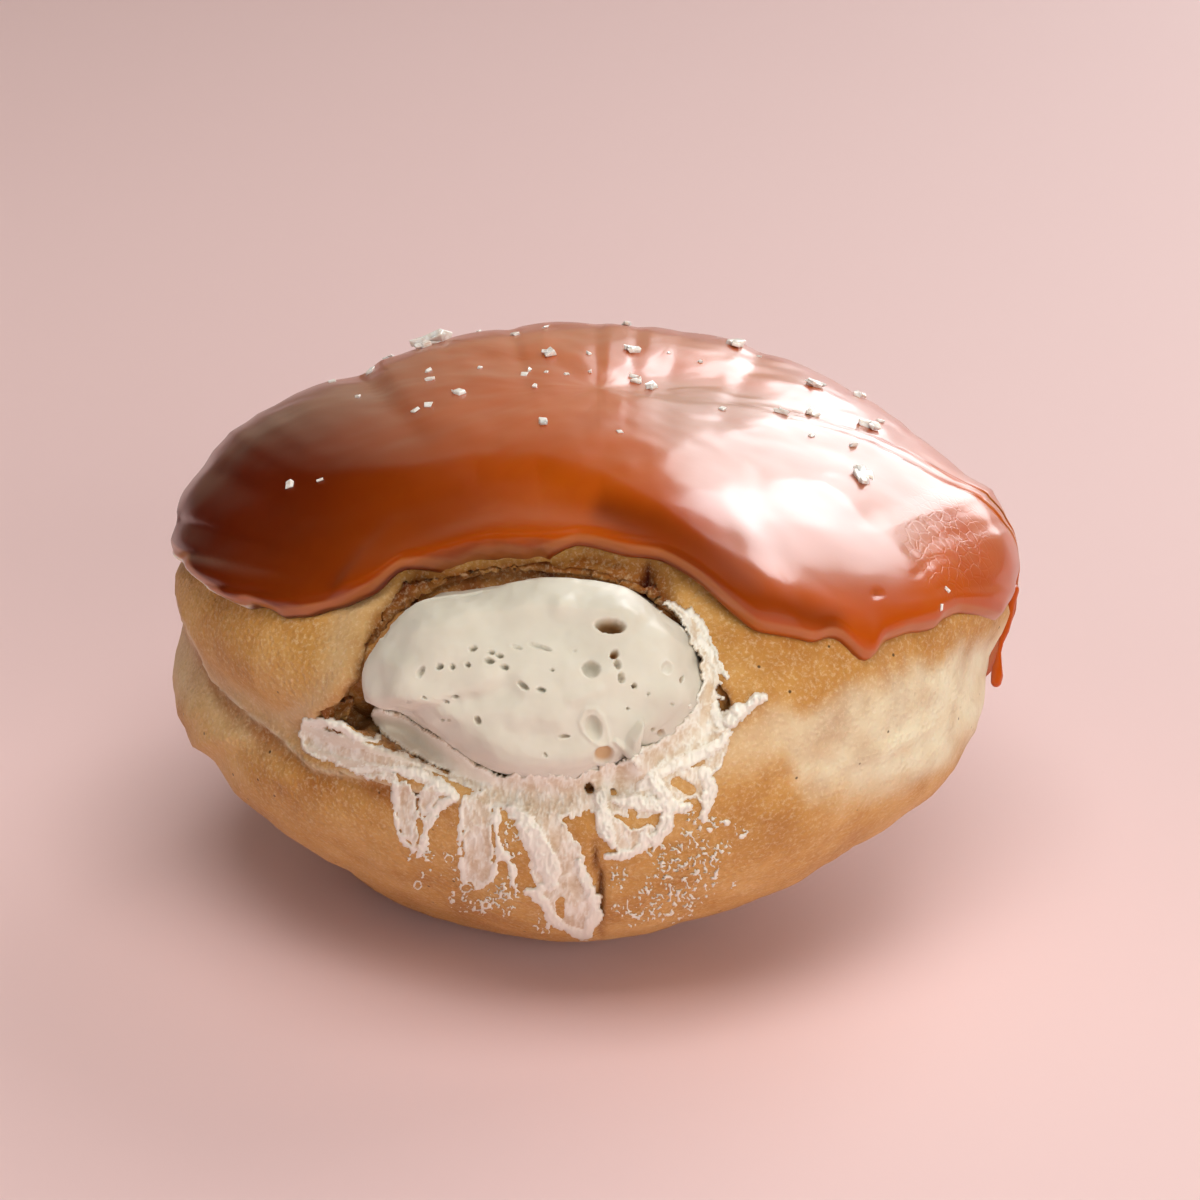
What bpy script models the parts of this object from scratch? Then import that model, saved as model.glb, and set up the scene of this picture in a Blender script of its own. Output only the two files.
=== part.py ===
"""A round toffee-glazed doughnut, piped full of cream through a slit in its front.

Metres, +Z up. The doughnut rests on a small flat spot on the table plane z = 0, and the slit faces -Y.
Its core is the middle of its waist: every surface is a distance from that core along a direction, which
is given as an azimuth (0 is +X, -90 is the front) and a latitude (0 is the waist), both in degrees.
"""

import math
import random

import bmesh
import bpy
from mathutils import Matrix, Vector

MM = 0.001

# Dough: a rounded body that is flatter above its waist than below it
HALF_WIDTH = 45.3 * MM
HALF_DEPTH = 44.4 * MM
CROWN_HEIGHT = 26.8 * MM
BELLY_DEPTH = 29.2 * MM
CROWN_POWER = 2.65
BELLY_POWER = 1.6
FOOT_CUT = 2.4 * MM
WAIST_HEIGHT = BELLY_DEPTH - FOOT_CUT
CORE = Vector((0.0, 0.0, WAIST_HEIGHT))
DOUGH_COLUMNS = 72
DOUGH_RINGS = 38
RING_GATHER = 12.0

# Slow unevenness of the body: height and fullest azimuth
PLAN_OVAL = (1.2 * MM, -65.0)
PLAN_THREE_LOBES = (0.8 * MM, -48.0)
CROWN_LEAN = (0.5 * MM, 178.0)
BELLY_LEAN = (3.7 * MM, -157.0)

# Swellings and hollows of the body: azimuth and its width, latitude and its width, height
WAIST_HOLLOW = (2.0, 11.0, -0.8 * MM)
SWELLS = (
    (-160.0, 34.0, -10.0, 9.0, 0.9 * MM),  # roll below the fold on the left
    (-160.0, 34.0, 3.0, 4.5, -1.9 * MM),  # fold on the left
    (-138.0, 18.0, 3.5, 4.5, -1.6 * MM),  # fold, deeper as it nears the slit
    (-142.0, 16.0, 15.0, 8.0, 0.6 * MM),  # cheek above the fold
    (-128.0, 32.0, -30.0, 14.0, 1.3 * MM),  # fuller belly at the front left
    (-178.0, 30.0, 18.0, 10.0, -0.7 * MM),  # drawn in under the icing's edge on the left
    (170.0, 35.0, 42.0, 14.0, 1.0 * MM),  # higher shoulder on the left
    (-5.0, 38.0, 15.0, 9.0, 1.1 * MM),  # shoulder under the icing on the right
    (-5.0, 38.0, -6.0, 9.0, -0.8 * MM),  # hollow of the pale band on the right
    (-46.0, 20.0, 3.0, 8.0, -0.7 * MM),  # the same band, up to the slit
    (-25.0, 40.0, -22.0, 14.0, 1.0 * MM),  # fuller belly at the front right
)

# Slit and pocket: an oval opening, drawn out to a corner at each end, and the hollow behind it
SLIT_AZIMUTH = -97.5
SLIT_LATITUDE = 17.0
SLIT_HALF_WIDTH = 18.3 * MM
SLIT_HALF_HEIGHT = 11.1 * MM
SLIT_CORNERS = ((-161.0, 15.0, 0.16), (-5.0, 9.0, 0.08))
POCKET_SHOULDER = 12.0 * MM
POCKET_BACK = 36.0 * MM
POCKET_REACH = 12.0 * MM
POCKET_BORE_START = 0.6
POCKET_BORE_END = 0.8
LIP_SWELL = 1.1 * MM
LIP_PLACE = 1.25
LIP_WIDTH = 0.35
BROW_DIP = 2.2 * MM

# Cream: it fills the pocket, narrows towards the slit and bulges out of it, low in the opening
CREAM_CLEARANCE = 0.4 * MM
CREAM_HALF_WIDTH = 17.3 * MM
CREAM_HALF_HEIGHT = 9.6 * MM
CREAM_DRAWN_IN = (-138.0, 24.0, -0.14)
CREAM_NARROWING = 0.5
CREAM_BULGE = 5.2 * MM
CREAM_FRONT_POWER = 3.0
CREAM_SAG = 0.8 * MM
CREAM_COLUMNS = 36
CREAM_RINGS = 22

# Toffee icing: a poured skin with a thick rounded edge that arches over the slit
SKIN_GAP = 0.6 * MM
ICING_THICKNESS = 1.6 * MM
ICING_EDGE_THICKNESS = 0.5 * MM
ICING_LIP_SHARE = 0.02
ICING_BEAD = 0.6 * MM
ICING_BEAD_PLACE = 0.06
ICING_BEAD_WIDTH = 0.06
ICING_RING_POWER = 2.2
ICING_COLUMNS = 100
ICING_RINGS = 20
ICING_EDGE_LATITUDE = 17.0
ICING_ARCH = (-97.0, 29.7, 18.5)
ICING_ARCH_POWER = 3.5
ICING_WAVES = ((0.5, 3, 0.4), (0.5, 7, 1.9))

# Where the icing ran further down: azimuth, width and drop in degrees
ICING_RUNS = (
    (-51.5, 2.6, 3.2),
    (-38.0, 5.0, 1.6),
    (-12.0, 14.0, 6.0),
    (38.0, 9.0, 5.0),
    (97.0, 12.0, 4.0),
    (158.0, 10.0, 3.0),
)

# Drips fused to the icing's edge: azimuth, lowest latitude and half width of each
DRIPS = (
    (-4.0, -7.0, 1.1 * MM),
    (66.0, 3.0, 1.5 * MM),
    (130.0, 7.0, 1.7 * MM),
)
DRIP_OVERLAP = 5.0
DRIP_THICKNESS = 1.5 * MM
DRIP_INSET = 0.1 * MM
DRIP_NECK = 0.45
DRIP_COLUMNS = 8
DRIP_RINGS = 9

# Salt flakes fused on the icing, half sunk: azimuth, latitude and length of those large enough to pick out
FLAKE_THICKNESS = 0.9 * MM
FLAKE_RISE = 0.15
LARGE_FLAKES = (
    (150.0, 56.0, 4.4 * MM),
    (40.0, 55.0, 2.8 * MM),
    (11.0, 42.0, 2.4 * MM),
    (-9.0, 42.0, 2.8 * MM),
    (-20.0, 54.0, 2.0 * MM),
    (-30.0, 37.0, 3.2 * MM),
    (53.0, 77.0, 2.2 * MM),
)
SCATTERED_FLAKES = 20
SCATTERED_LENGTHS = (1.2 * MM, 1.9 * MM)
SCATTERED_LATITUDES = (36.0, 84.0)
GOLDEN_RATIO = 0.618034

# Cream smeared below the slit: a band along its lower edge, with runs of cream down the dough
SMEAR_THICKNESS = 0.8 * MM
SMEAR_RIM = 1.14
SMEAR_BAND = 3.0 * MM
SMEAR_START_TURN = -142.0
SMEAR_END_TURN = -10.0
SMEAR_COLUMNS = 36
SMEAR_ROWS = 5

# Place along the band, half width and length of each run of cream
SMEAR_RUNS = (
    (0.12, 0.055, 7.5 * MM),
    (0.26, 0.050, 15.0 * MM),
    (0.46, 0.050, 22.0 * MM),
    (0.62, 0.050, 9.0 * MM),
    (0.76, 0.045, 8.0 * MM),
)


def bump(distance, width):
    """A smooth hill of height 1 at distance 0, about 1.7 widths across at half height."""
    return math.exp(-((distance / width) ** 2))


def turn_between(a, b):
    """The smallest turn from azimuth b to azimuth a, in degrees."""
    return (a - b + 180.0) % 360.0 - 180.0


def between(low, high, share):
    return low + (high - low) * max(0.0, min(1.0, share))


def direction(azimuth, latitude):
    a = math.radians(azimuth)
    b = math.radians(latitude)
    return Vector((math.cos(a) * math.cos(b), math.sin(a) * math.cos(b), math.sin(b)))


def angles(d):
    """Azimuth and latitude of a direction, in degrees."""
    return math.degrees(math.atan2(d.y, d.x)), math.degrees(math.asin(max(-1.0, min(1.0, d.z))))


SLIT_AXIS = direction(SLIT_AZIMUTH, SLIT_LATITUDE)
SLIT_RIGHT = Vector((0.0, 0.0, 1.0)).cross(SLIT_AXIS).normalized()
SLIT_UP = SLIT_AXIS.cross(SLIT_RIGHT).normalized()


def plain_radius(d):
    """The body with no features: two superellipsoid halves that meet at the waist."""
    across = math.hypot(d.x / HALF_WIDTH, d.y / HALF_DEPTH)
    power = CROWN_POWER if d.z > 0 else BELLY_POWER
    height = CROWN_HEIGHT if d.z > 0 else BELLY_DEPTH
    return (across**power + (abs(d.z) / height) ** power) ** (-1.0 / power)


def lobes(height, fullest, count, azimuth):
    return height * math.cos(math.radians(count * (azimuth - fullest)))


def unevenness(azimuth, latitude):
    """What hand shaping and frying leave: an oval, leaning body with local swellings and hollows."""
    b = math.radians(latitude)
    total = (lobes(*PLAN_OVAL, 2, azimuth) + lobes(*PLAN_THREE_LOBES, 3, azimuth)) * math.cos(b)
    lean = CROWN_LEAN if latitude > 0.0 else BELLY_LEAN
    total += lobes(*lean, 1, azimuth) * abs(math.sin(2.0 * b))
    place, width, height = WAIST_HOLLOW
    total += height * bump(latitude - place, width)
    for side, side_width, place, width, height in SWELLS:
        total += height * bump(turn_between(azimuth, side), side_width) * bump(latitude - place, width)
    return total


def slit_place(d):
    """How far a direction lies from the slit's middle, 1 on the slit's edge, and how high it lies."""
    ahead = d.dot(SLIT_AXIS)
    if ahead <= 0.05:
        return 99.0, 0.0
    side = d.dot(SLIT_RIGHT) / ahead * HALF_DEPTH / SLIT_HALF_WIDTH
    rise = d.dot(SLIT_UP) / ahead * HALF_DEPTH / SLIT_HALF_HEIGHT
    return math.hypot(side, rise), rise


def lips(d):
    """The rim that piping the cream pushes out round the slit. Above the slit it is drawn in instead."""
    place, rise = slit_place(d)
    return between(LIP_SWELL, -BROW_DIP, rise) * bump(place - LIP_PLACE, LIP_WIDTH)


def dough_radius(d):
    return plain_radius(d) + unevenness(*angles(d)) + lips(d)


def surface_point(d, radius):
    """The point this far out from the core along d, no lower than the table."""
    point = CORE + d * radius
    point.z = max(point.z, 0.0)
    return point


def new_material(name, colour, roughness):
    material = bpy.data.materials.new(name)
    material.use_nodes = True
    shader = material.node_tree.nodes["Principled BSDF"]
    shader.inputs["Base Color"].default_value = (*colour, 1.0)
    shader.inputs["Roughness"].default_value = roughness
    shader.inputs["Metallic"].default_value = 0.0
    return material


def object_of(bm, name, collection, material=None):
    """A smooth-shaded object of this bmesh."""
    mesh = bpy.data.meshes.new(name)
    bm.to_mesh(mesh)
    bm.free()
    mesh.shade_smooth()
    obj = bpy.data.objects.new(name, mesh)
    collection.objects.link(obj)
    if material:
        mesh.materials.append(material)
    return obj


def apply_modifiers(obj):
    """Keeps the evaluated mesh in place of the object's own mesh and modifiers."""
    graph = bpy.context.evaluated_depsgraph_get()
    mesh = bpy.data.meshes.new_from_object(obj.evaluated_get(graph))
    obj.modifiers.clear()
    obj.data = mesh


def sphere(columns, rings):
    bm = bmesh.new()
    bmesh.ops.create_uvsphere(bm, u_segments=columns, v_segments=rings, radius=1.0)
    return bm


def outline(turn, features):
    """An oval's own unevenness at this turn round it: 1, and more or less at each of its features."""
    angle = math.degrees(math.atan2(turn.z, turn.x))
    return 1.0 + sum(height * bump(turn_between(angle, place), width) for place, width, height in features)


def slit_section(turn, depth, half_width, half_height):
    """A point of the slit's own frame, this deep from the pocket's shoulder towards the front."""
    centre = CORE + SLIT_AXIS * (dough_radius(SLIT_AXIS) - POCKET_SHOULDER + depth)
    return centre + SLIT_RIGHT * turn.x * half_width + SLIT_UP * turn.z * half_height


def round_the_axis(v):
    """Splits a unit sphere's point into its place along the axis, its share across it and its turn."""
    across = math.hypot(v.x, v.z)
    return v.y, across, Vector((v.x, 0.0, v.z)) / max(across, 1e-9)


def pocket_point(v):
    """Behind the shoulder the hollow is rounded. In front it is a straight bore that leaves the dough."""
    along, across, turn = round_the_axis(v)
    depth = along * POCKET_BACK
    if along > 0.0:
        across = min(1.0, across / POCKET_BORE_START)
        depth = min(1.0, along / POCKET_BORE_END) * (POCKET_SHOULDER + POCKET_REACH)
    across *= outline(turn, SLIT_CORNERS)
    return slit_section(turn, depth, across * SLIT_HALF_WIDTH, across * SLIT_HALF_HEIGHT)


def cream_point(v):
    along, across, turn = round_the_axis(v)
    depth = along * (POCKET_BACK - CREAM_CLEARANCE)
    if along > 0.0:
        depth = along * (POCKET_SHOULDER + CREAM_BULGE)
        if across > 1e-6:
            across = max(0.0, 1.0 - along**CREAM_FRONT_POWER) ** (1.0 / CREAM_FRONT_POWER)
    narrowing = along / CREAM_NARROWING
    across *= between(1.0, outline(turn, (CREAM_DRAWN_IN,)), narrowing)
    half_width = between(SLIT_HALF_WIDTH - CREAM_CLEARANCE, CREAM_HALF_WIDTH, narrowing)
    half_height = between(SLIT_HALF_HEIGHT - CREAM_CLEARANCE, CREAM_HALF_HEIGHT, narrowing)
    point = slit_section(turn, depth, across * half_width, across * half_height)
    return point - SLIT_UP * CREAM_SAG * max(0.0, along)


def make_dough(collection, cutters):
    """The body, with its rings gathered towards the waist, where the fold is, and the pocket cut out."""
    bm = sphere(DOUGH_COLUMNS, DOUGH_RINGS)
    for vertex in bm.verts:
        azimuth, latitude = angles(vertex.co.normalized())
        d = direction(azimuth, latitude - RING_GATHER * math.sin(math.radians(2.0 * latitude)))
        vertex.co = surface_point(d, dough_radius(d))
    dough = object_of(bm, "dough", collection, new_material("fried_dough", (0.62, 0.36, 0.15), 0.7))
    bm = sphere(CREAM_COLUMNS, CREAM_RINGS)
    for vertex in bm.verts:
        vertex.co = pocket_point(Vector((vertex.co.x, vertex.co.z, vertex.co.y)))
    pocket = object_of(bm, "pocket_cutter", cutters)
    pocket.hide_render = True
    pocket.display_type = "WIRE"
    cut = dough.modifiers.new("pocket", "BOOLEAN")
    cut.operation = "DIFFERENCE"
    cut.object = pocket
    apply_modifiers(dough)
    bpy.data.objects.remove(pocket)
    return dough


def make_cream(collection):
    bm = sphere(CREAM_COLUMNS, CREAM_RINGS)
    for vertex in bm.verts:
        vertex.co = cream_point(Vector((vertex.co.x, vertex.co.z, vertex.co.y)))
    return object_of(bm, "cream_filling", collection, new_material("whipped_cream", (0.83, 0.77, 0.67), 0.45))


def icing_edge(azimuth):
    """Latitude of the icing's lower edge: nearly level, arched over the slit, with places that ran down."""
    edge = ICING_EDGE_LATITUDE
    for height, count, start in ICING_WAVES:
        edge += height * math.sin(count * math.radians(azimuth) + start)
    place, width, height = ICING_ARCH
    edge += height * math.exp(-(abs(turn_between(azimuth, place) / width) ** ICING_ARCH_POWER))
    for place, width, drop in ICING_RUNS:
        edge -= drop * bump(turn_between(azimuth, place), width)
    return edge


def icing_thickness(share):
    """Thickness from the rounded edge, share 0, to the middle of the top, share 1."""
    rise = min(1.0, share / ICING_LIP_SHARE)
    lip = math.sqrt(1.0 - (1.0 - rise) ** 2)
    bead = ICING_BEAD * bump(share - ICING_BEAD_PLACE, ICING_BEAD_WIDTH)
    return ICING_EDGE_THICKNESS + (ICING_THICKNESS - ICING_EDGE_THICKNESS + bead) * lip


def icing_seat(d):
    """The icing's inner face: just off the dough, and straight across where that is drawn in."""
    return dough_radius(d) - min(0.0, lips(d)) + SKIN_GAP


def icing_point(v):
    """Folds a unit sphere into the icing: its upper half is the outer face, its lower half the inner one."""
    azimuth, fold = angles(v)
    share = (abs(fold) / 90.0) ** ICING_RING_POWER
    edge = icing_edge(azimuth)
    d = direction(azimuth, edge + (90.0 - edge) * share)
    outside = fold > -0.01
    return surface_point(d, icing_seat(d) + (icing_thickness(share) if outside else 0.0))


def add_drip(collection, azimuth, lowest, half_width):
    """A tear of toffee that ran on down the dough from the icing's edge, fattest at its foot."""
    bm = sphere(DRIP_COLUMNS, DRIP_RINGS)
    top = icing_edge(azimuth) + DRIP_OVERLAP
    for vertex in bm.verts:
        climb = (vertex.co.z + 1.0) / 2.0
        width = half_width * between(1.0, DRIP_NECK, 2.0 * climb)
        side = math.degrees(vertex.co.x * width / HALF_WIDTH)
        d = direction(azimuth + side, between(lowest, top, climb))
        out = DRIP_INSET + DRIP_THICKNESS * (vertex.co.y + 1.0) / 2.0
        vertex.co = surface_point(d, icing_seat(d) + out)
    object_of(bm, "drip", collection)


def add_flake(collection, rng, azimuth, latitude, length):
    """A thin angular crystal, sunk in the icing at its own tilt."""
    bm = bmesh.new()
    bmesh.ops.create_cube(bm, size=1.0)
    bmesh.ops.scale(bm, verts=bm.verts, vec=(length, length * rng.uniform(0.45, 0.8), FLAKE_THICKNESS))
    for vertex in bm.verts:
        vertex.co *= rng.uniform(0.8, 1.1)
    d = direction(azimuth, latitude)
    seat = surface_point(d, icing_seat(d) + ICING_THICKNESS + FLAKE_RISE * FLAKE_THICKNESS)
    tilt = Matrix.Rotation(math.radians(rng.uniform(-18, 18)), 4, "X")
    spin = Matrix.Rotation(math.radians(rng.uniform(0, 180)), 4, "Z")
    lay = d.to_track_quat("Z", "Y").to_matrix().to_4x4()
    bmesh.ops.transform(bm, matrix=Matrix.Translation(seat) @ lay @ spin @ tilt, verts=bm.verts)
    object_of(bm, "flake", collection)


def make_icing(collection):
    bm = sphere(ICING_COLUMNS, ICING_RINGS)
    for vertex in bm.verts:
        vertex.co = icing_point(vertex.co.normalized())
    icing = object_of(bm, "toffee_icing", collection, new_material("toffee_icing", (0.36, 0.13, 0.03), 0.15))
    fused = bpy.data.collections.new("fused")
    bpy.context.scene.collection.children.link(fused)
    for azimuth, lowest, half_width in DRIPS:
        add_drip(fused, azimuth, lowest, half_width)
    rng = random.Random(11)
    for azimuth, latitude, length in LARGE_FLAKES:
        add_flake(fused, rng, azimuth, latitude, length)
    for index in range(SCATTERED_FLAKES):
        azimuth = 360.0 * (index * GOLDEN_RATIO % 1.0)
        add_flake(fused, rng, azimuth, rng.uniform(*SCATTERED_LATITUDES), rng.uniform(*SCATTERED_LENGTHS))
    join = icing.modifiers.new("fused", "BOOLEAN")
    join.operation = "UNION"
    join.operand_type = "COLLECTION"
    join.collection = fused
    apply_modifiers(icing)
    for piece in list(fused.objects):
        bpy.data.objects.remove(piece)
    bpy.data.collections.remove(fused)
    return icing


def smear_length(along):
    longest = SMEAR_BAND
    for place, width, length in SMEAR_RUNS:
        longest = max(longest, SMEAR_BAND + (length - SMEAR_BAND) * bump(along - place, width))
    return longest


def smear_point(along, down):
    """A point of the smears: along the slit's lower edge from left to right, then down the dough."""
    turn = math.radians(between(SMEAR_START_TURN, SMEAR_END_TURN, along))
    side = SLIT_RIGHT * math.cos(turn) * SLIT_HALF_WIDTH * SMEAR_RIM
    rise = SLIT_UP * math.sin(turn) * SLIT_HALF_HEIGHT * SMEAR_RIM
    start = (SLIT_AXIS * HALF_DEPTH + side + rise).normalized()
    azimuth, latitude = angles(start)
    fall = math.degrees(down * smear_length(along) / dough_radius(start))
    d = direction(azimuth, latitude - fall)
    return surface_point(d, dough_radius(d) + SKIN_GAP)


def make_smears(collection):
    bm = bmesh.new()
    bmesh.ops.create_grid(bm, x_segments=SMEAR_COLUMNS, y_segments=SMEAR_ROWS, size=0.5)
    for vertex in bm.verts:
        vertex.co = smear_point(vertex.co.x + 0.5, 0.5 - vertex.co.y)
    smears = object_of(bm, "cream_smears", collection, new_material("smeared_cream", (0.8, 0.74, 0.66), 0.6))
    shell = smears.modifiers.new("thickness", "SOLIDIFY")
    shell.thickness = SMEAR_THICKNESS
    shell.offset = 1.0
    return smears


def centre_on_origin(objects):
    """Puts the middle of the doughnut's outline over the origin; its foot is already on z = 0."""
    bpy.context.view_layer.update()
    corners = [obj.matrix_world @ Vector(corner) for obj in objects for corner in obj.bound_box]
    x = [corner.x for corner in corners]
    y = [corner.y for corner in corners]
    for obj in objects:
        obj.location = (-(min(x) + max(x)) / 2, -(min(y) + max(y)) / 2, 0.0)


def main():
    for obj in list(bpy.data.objects):
        bpy.data.objects.remove(obj)
    parts = bpy.data.collections.new("toffee_doughnut")
    cutters = bpy.data.collections.new("cutters")
    for collection in (parts, cutters):
        bpy.context.scene.collection.children.link(collection)
    pieces = [make_dough(parts, cutters), make_cream(parts), make_icing(parts), make_smears(parts)]
    centre_on_origin(pieces)


main()
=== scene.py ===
import math
import random

import bmesh
import bpy
import numpy as np
from mathutils import Matrix, Vector, noise
from mathutils.bvhtree import BVHTree


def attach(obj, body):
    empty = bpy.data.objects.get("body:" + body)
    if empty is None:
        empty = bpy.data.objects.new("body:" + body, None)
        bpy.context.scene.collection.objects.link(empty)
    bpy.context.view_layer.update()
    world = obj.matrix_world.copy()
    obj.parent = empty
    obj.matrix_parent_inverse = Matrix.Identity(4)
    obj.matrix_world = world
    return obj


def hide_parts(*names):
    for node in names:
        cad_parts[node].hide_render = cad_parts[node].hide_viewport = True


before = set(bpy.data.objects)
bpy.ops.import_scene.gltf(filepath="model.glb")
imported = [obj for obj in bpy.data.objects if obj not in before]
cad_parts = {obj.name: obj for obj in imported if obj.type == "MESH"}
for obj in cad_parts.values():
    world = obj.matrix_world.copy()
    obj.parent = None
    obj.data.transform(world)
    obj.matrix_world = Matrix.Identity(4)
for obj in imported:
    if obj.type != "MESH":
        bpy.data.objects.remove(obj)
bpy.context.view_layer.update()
mm = 0.001
core = Vector((0.0, 0.0, 26.8 * mm))  # middle of the waist: directions are taken from here
print("frame loaded:", sorted(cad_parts))

# the view: a little above the front, through a long lens
view = {
    "elevation": 24.0,
    "distance": 400.0,    # mm
    "aimHeight": 26.5,    # mm
    "focal": 3700.0,      # pixels of the square frame
    "frameSide": 1200.0,
    "middleU": 598.0,
    "middleV": 644.0,
}
tilt = math.radians(view["elevation"])
viewRight = Vector((1.0, 0.0, 0.0))
viewUp = Vector((0.0, math.sin(tilt), math.cos(tilt)))
viewAlong = Vector((0.0, math.cos(tilt), -math.sin(tilt)))
eye = Vector((0.0, 0.0, view["aimHeight"] * mm)) - viewAlong * view["distance"] * mm


def pixelsOf(points):
    away = points - np.array(eye)
    depth = away @ np.array(viewAlong)
    u = view["middleU"] + view["focal"] * (away @ np.array(viewRight)) / depth
    v = view["middleV"] - view["focal"] * (away @ np.array(viewUp)) / depth
    return u, v


def rayThrough(u, v):
    ray = viewAlong * view["focal"] + viewRight * (u - view["middleU"]) - viewUp * (v - view["middleV"])
    return ray.normalized()


def facing(normals):
    # 1 where a surface faces the viewer, 0 from side-on to turned away
    return smoothStep(0.05, 0.3, -(normals @ np.array(viewAlong)))


# small tools for shapes
def direction(azimuth, latitude):
    a, b = math.radians(azimuth), math.radians(latitude)
    return Vector((math.cos(a) * math.cos(b), math.sin(a) * math.cos(b), math.sin(b)))


def anglesOf(points):
    away = np.atleast_2d(points) - np.array(core)
    azimuth = np.degrees(np.arctan2(away[:, 1], away[:, 0]))
    latitude = np.degrees(np.arctan2(away[:, 2], np.hypot(away[:, 0], away[:, 1])))
    return azimuth, latitude


def turnBetween(a, b):
    return (a - b + 180.0) % 360.0 - 180.0


def smoothStep(low, high, x):
    t = np.clip((x - low) / (high - low), 0.0, 1.0)
    return t * t * (3.0 - 2.0 * t)


def between(x, span):
    # 0 outside a span, 1 inside: where it begins, is full, is full for the last time, and ends
    return smoothStep(span[0], span[1], x) * smoothStep(span[3], span[2], x)


def hill(distance, width):
    return np.exp(-((distance / width) ** 2))


def noiseAt(points, grain, seed=0.0, octaves=1):
    # smooth noise, from about -1 to 1, with blobs of this size in mm
    shift = Vector((seed * 3.1, seed * 1.7, seed * 2.3))
    scaled = points / (grain * mm)
    if octaves == 1:
        return np.array([noise.noise(Vector(p) + shift) for p in scaled])
    return np.array([noise.fractal(Vector(p) + shift, 0.7, 2.0, octaves) for p in scaled])


def swellsAt(points, swells, octaves=1):
    # several noises together: blob size and height in mm, seed
    return sum(height * noiseAt(points, size, seed, octaves) for size, height, seed in swells)


def strokeDepth(u, v, stroke):
    # pixels inside the edge of a stroke, whose points are (u, v, radius)
    inside = np.full(len(u), -1e9)
    for (ua, va, ra), (ub, vb, rb) in zip(stroke[:-1], stroke[1:]):
        du, dv = ub - ua, vb - va
        share = np.clip(((u - ua) * du + (v - va) * dv) / (du * du + dv * dv + 1e-9), 0.0, 1.0)
        gap = np.hypot(u - ua - share * du, v - va - share * dv)
        inside = np.maximum(inside, ra + (rb - ra) * share - gap)
    return inside


def ovalPlace(u, v, oval):
    # 0 in the middle of an oval (u, v, half width, half height, turn), 1 on its edge
    middleU, middleV, halfU, halfV, turn = oval[:5]
    c, s = math.cos(math.radians(turn)), math.sin(math.radians(turn))
    across = ((u - middleU) * c + (v - middleV) * s) / halfU
    down = (-(u - middleU) * s + (v - middleV) * c) / halfV
    return np.hypot(across, down)


def polarOf(u, v, middle):
    # turn in degrees and distance in pixels, round a middle in the picture
    return np.degrees(np.arctan2(v - middle[1], u - middle[0])), np.hypot(u - middle[0], v - middle[1])


def levelAt(azimuth, known):
    # a level that varies with a turn, between the known (turn, level) places
    places, levels = zip(*sorted(known))
    return np.interp(azimuth, places, levels, period=360.0)


def widestAt(points, middle):
    # how far the points reach round a middle in the picture, for every 4 degrees
    turn, spread = polarOf(*pixelsOf(points), middle)
    places = np.arange(-180.0, 180.0, 4.0)
    levels = np.array([spread[np.abs(turnBetween(turn, place)) < 2.2].max(initial=1.0) for place in places])
    return list(zip(places, (np.roll(levels, 1) + 2.0 * levels + np.roll(levels, -1)) / 4.0))


def stretched(points, middle, grow):
    # points moved in the picture's plane, their distance from a middle scaled by grow
    u, v = pixelsOf(points)
    pixelSize = ((points - np.array(eye)) @ np.array(viewAlong)) / view["focal"]
    sideways = np.outer((grow - 1.0) * (u - middle[0]) * pixelSize, np.array(viewRight))
    return points + sideways - np.outer((grow - 1.0) * (v - middle[1]) * pixelSize, np.array(viewUp))


def fitted(points, middle, wanted, reach, weight):
    # two passes of stretching, until the points' outline in the picture is the wanted one
    for _ in range(2):
        turn, spread = polarOf(*pixelsOf(points), middle)
        widest = levelAt(turn, widestAt(points, middle))
        share = smoothStep(*reach, spread / widest) * weight(turn, points)
        points = stretched(points, middle, 1.0 + (levelAt(turn, wanted) / widest - 1.0) * share)
    return points


def arraysOf(mesh):
    points = np.empty(len(mesh.vertices) * 3, np.float32)
    normals = np.empty(len(mesh.vertices) * 3, np.float32)
    mesh.vertices.foreach_get("co", points)
    mesh.vertices.foreach_get("normal", normals)
    return points.reshape(-1, 3).astype(float), normals.reshape(-1, 3).astype(float)


def setPoints(mesh, points):
    mesh.vertices.foreach_set("co", points.astype(np.float32).ravel())
    mesh.update()


def setShare(mesh, name, values):
    # a number on each point, for the material to read
    layer = mesh.attributes.new(name, "FLOAT", "POINT")
    layer.data.foreach_set("value", np.clip(values, 0.0, 1.0).astype(np.float32))


def meshFrom(bm, name):
    mesh = bpy.data.meshes.new(name)
    bm.to_mesh(mesh)
    bm.free()
    return mesh


def placed(name, data):
    made = bpy.data.objects.new(name, data)
    bpy.context.scene.collection.objects.link(made)
    return made


def treeOf(mesh):
    bm = bmesh.new()
    bm.from_mesh(mesh)
    tree = BVHTree.FromBMesh(bm)
    bm.free()
    return tree


def evaluatedMesh(rough):
    # the mesh that the object's modifiers make, with the object itself removed
    graph = bpy.context.evaluated_depsgraph_get()
    mesh = bpy.data.meshes.new_from_object(rough.evaluated_get(graph), depsgraph=graph)
    bpy.data.objects.remove(rough)
    return mesh


def evened(rough, voxel, rounds):
    # voxel remesh, then smoothing
    even = rough.modifiers.new("even", "REMESH")
    even.mode = "VOXEL"
    even.voxel_size = voxel * mm
    even.use_smooth_shade = True
    soft = rough.modifiers.new("soft", "SMOOTH")
    soft.factor = 0.5
    soft.iterations = rounds
    return evaluatedMesh(rough)


def thickened(rough, thickness):
    body = rough.modifiers.new("body", "SOLIDIFY")
    body.thickness = thickness * mm
    body.offset = -1.0
    return evaluatedMesh(rough)


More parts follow.
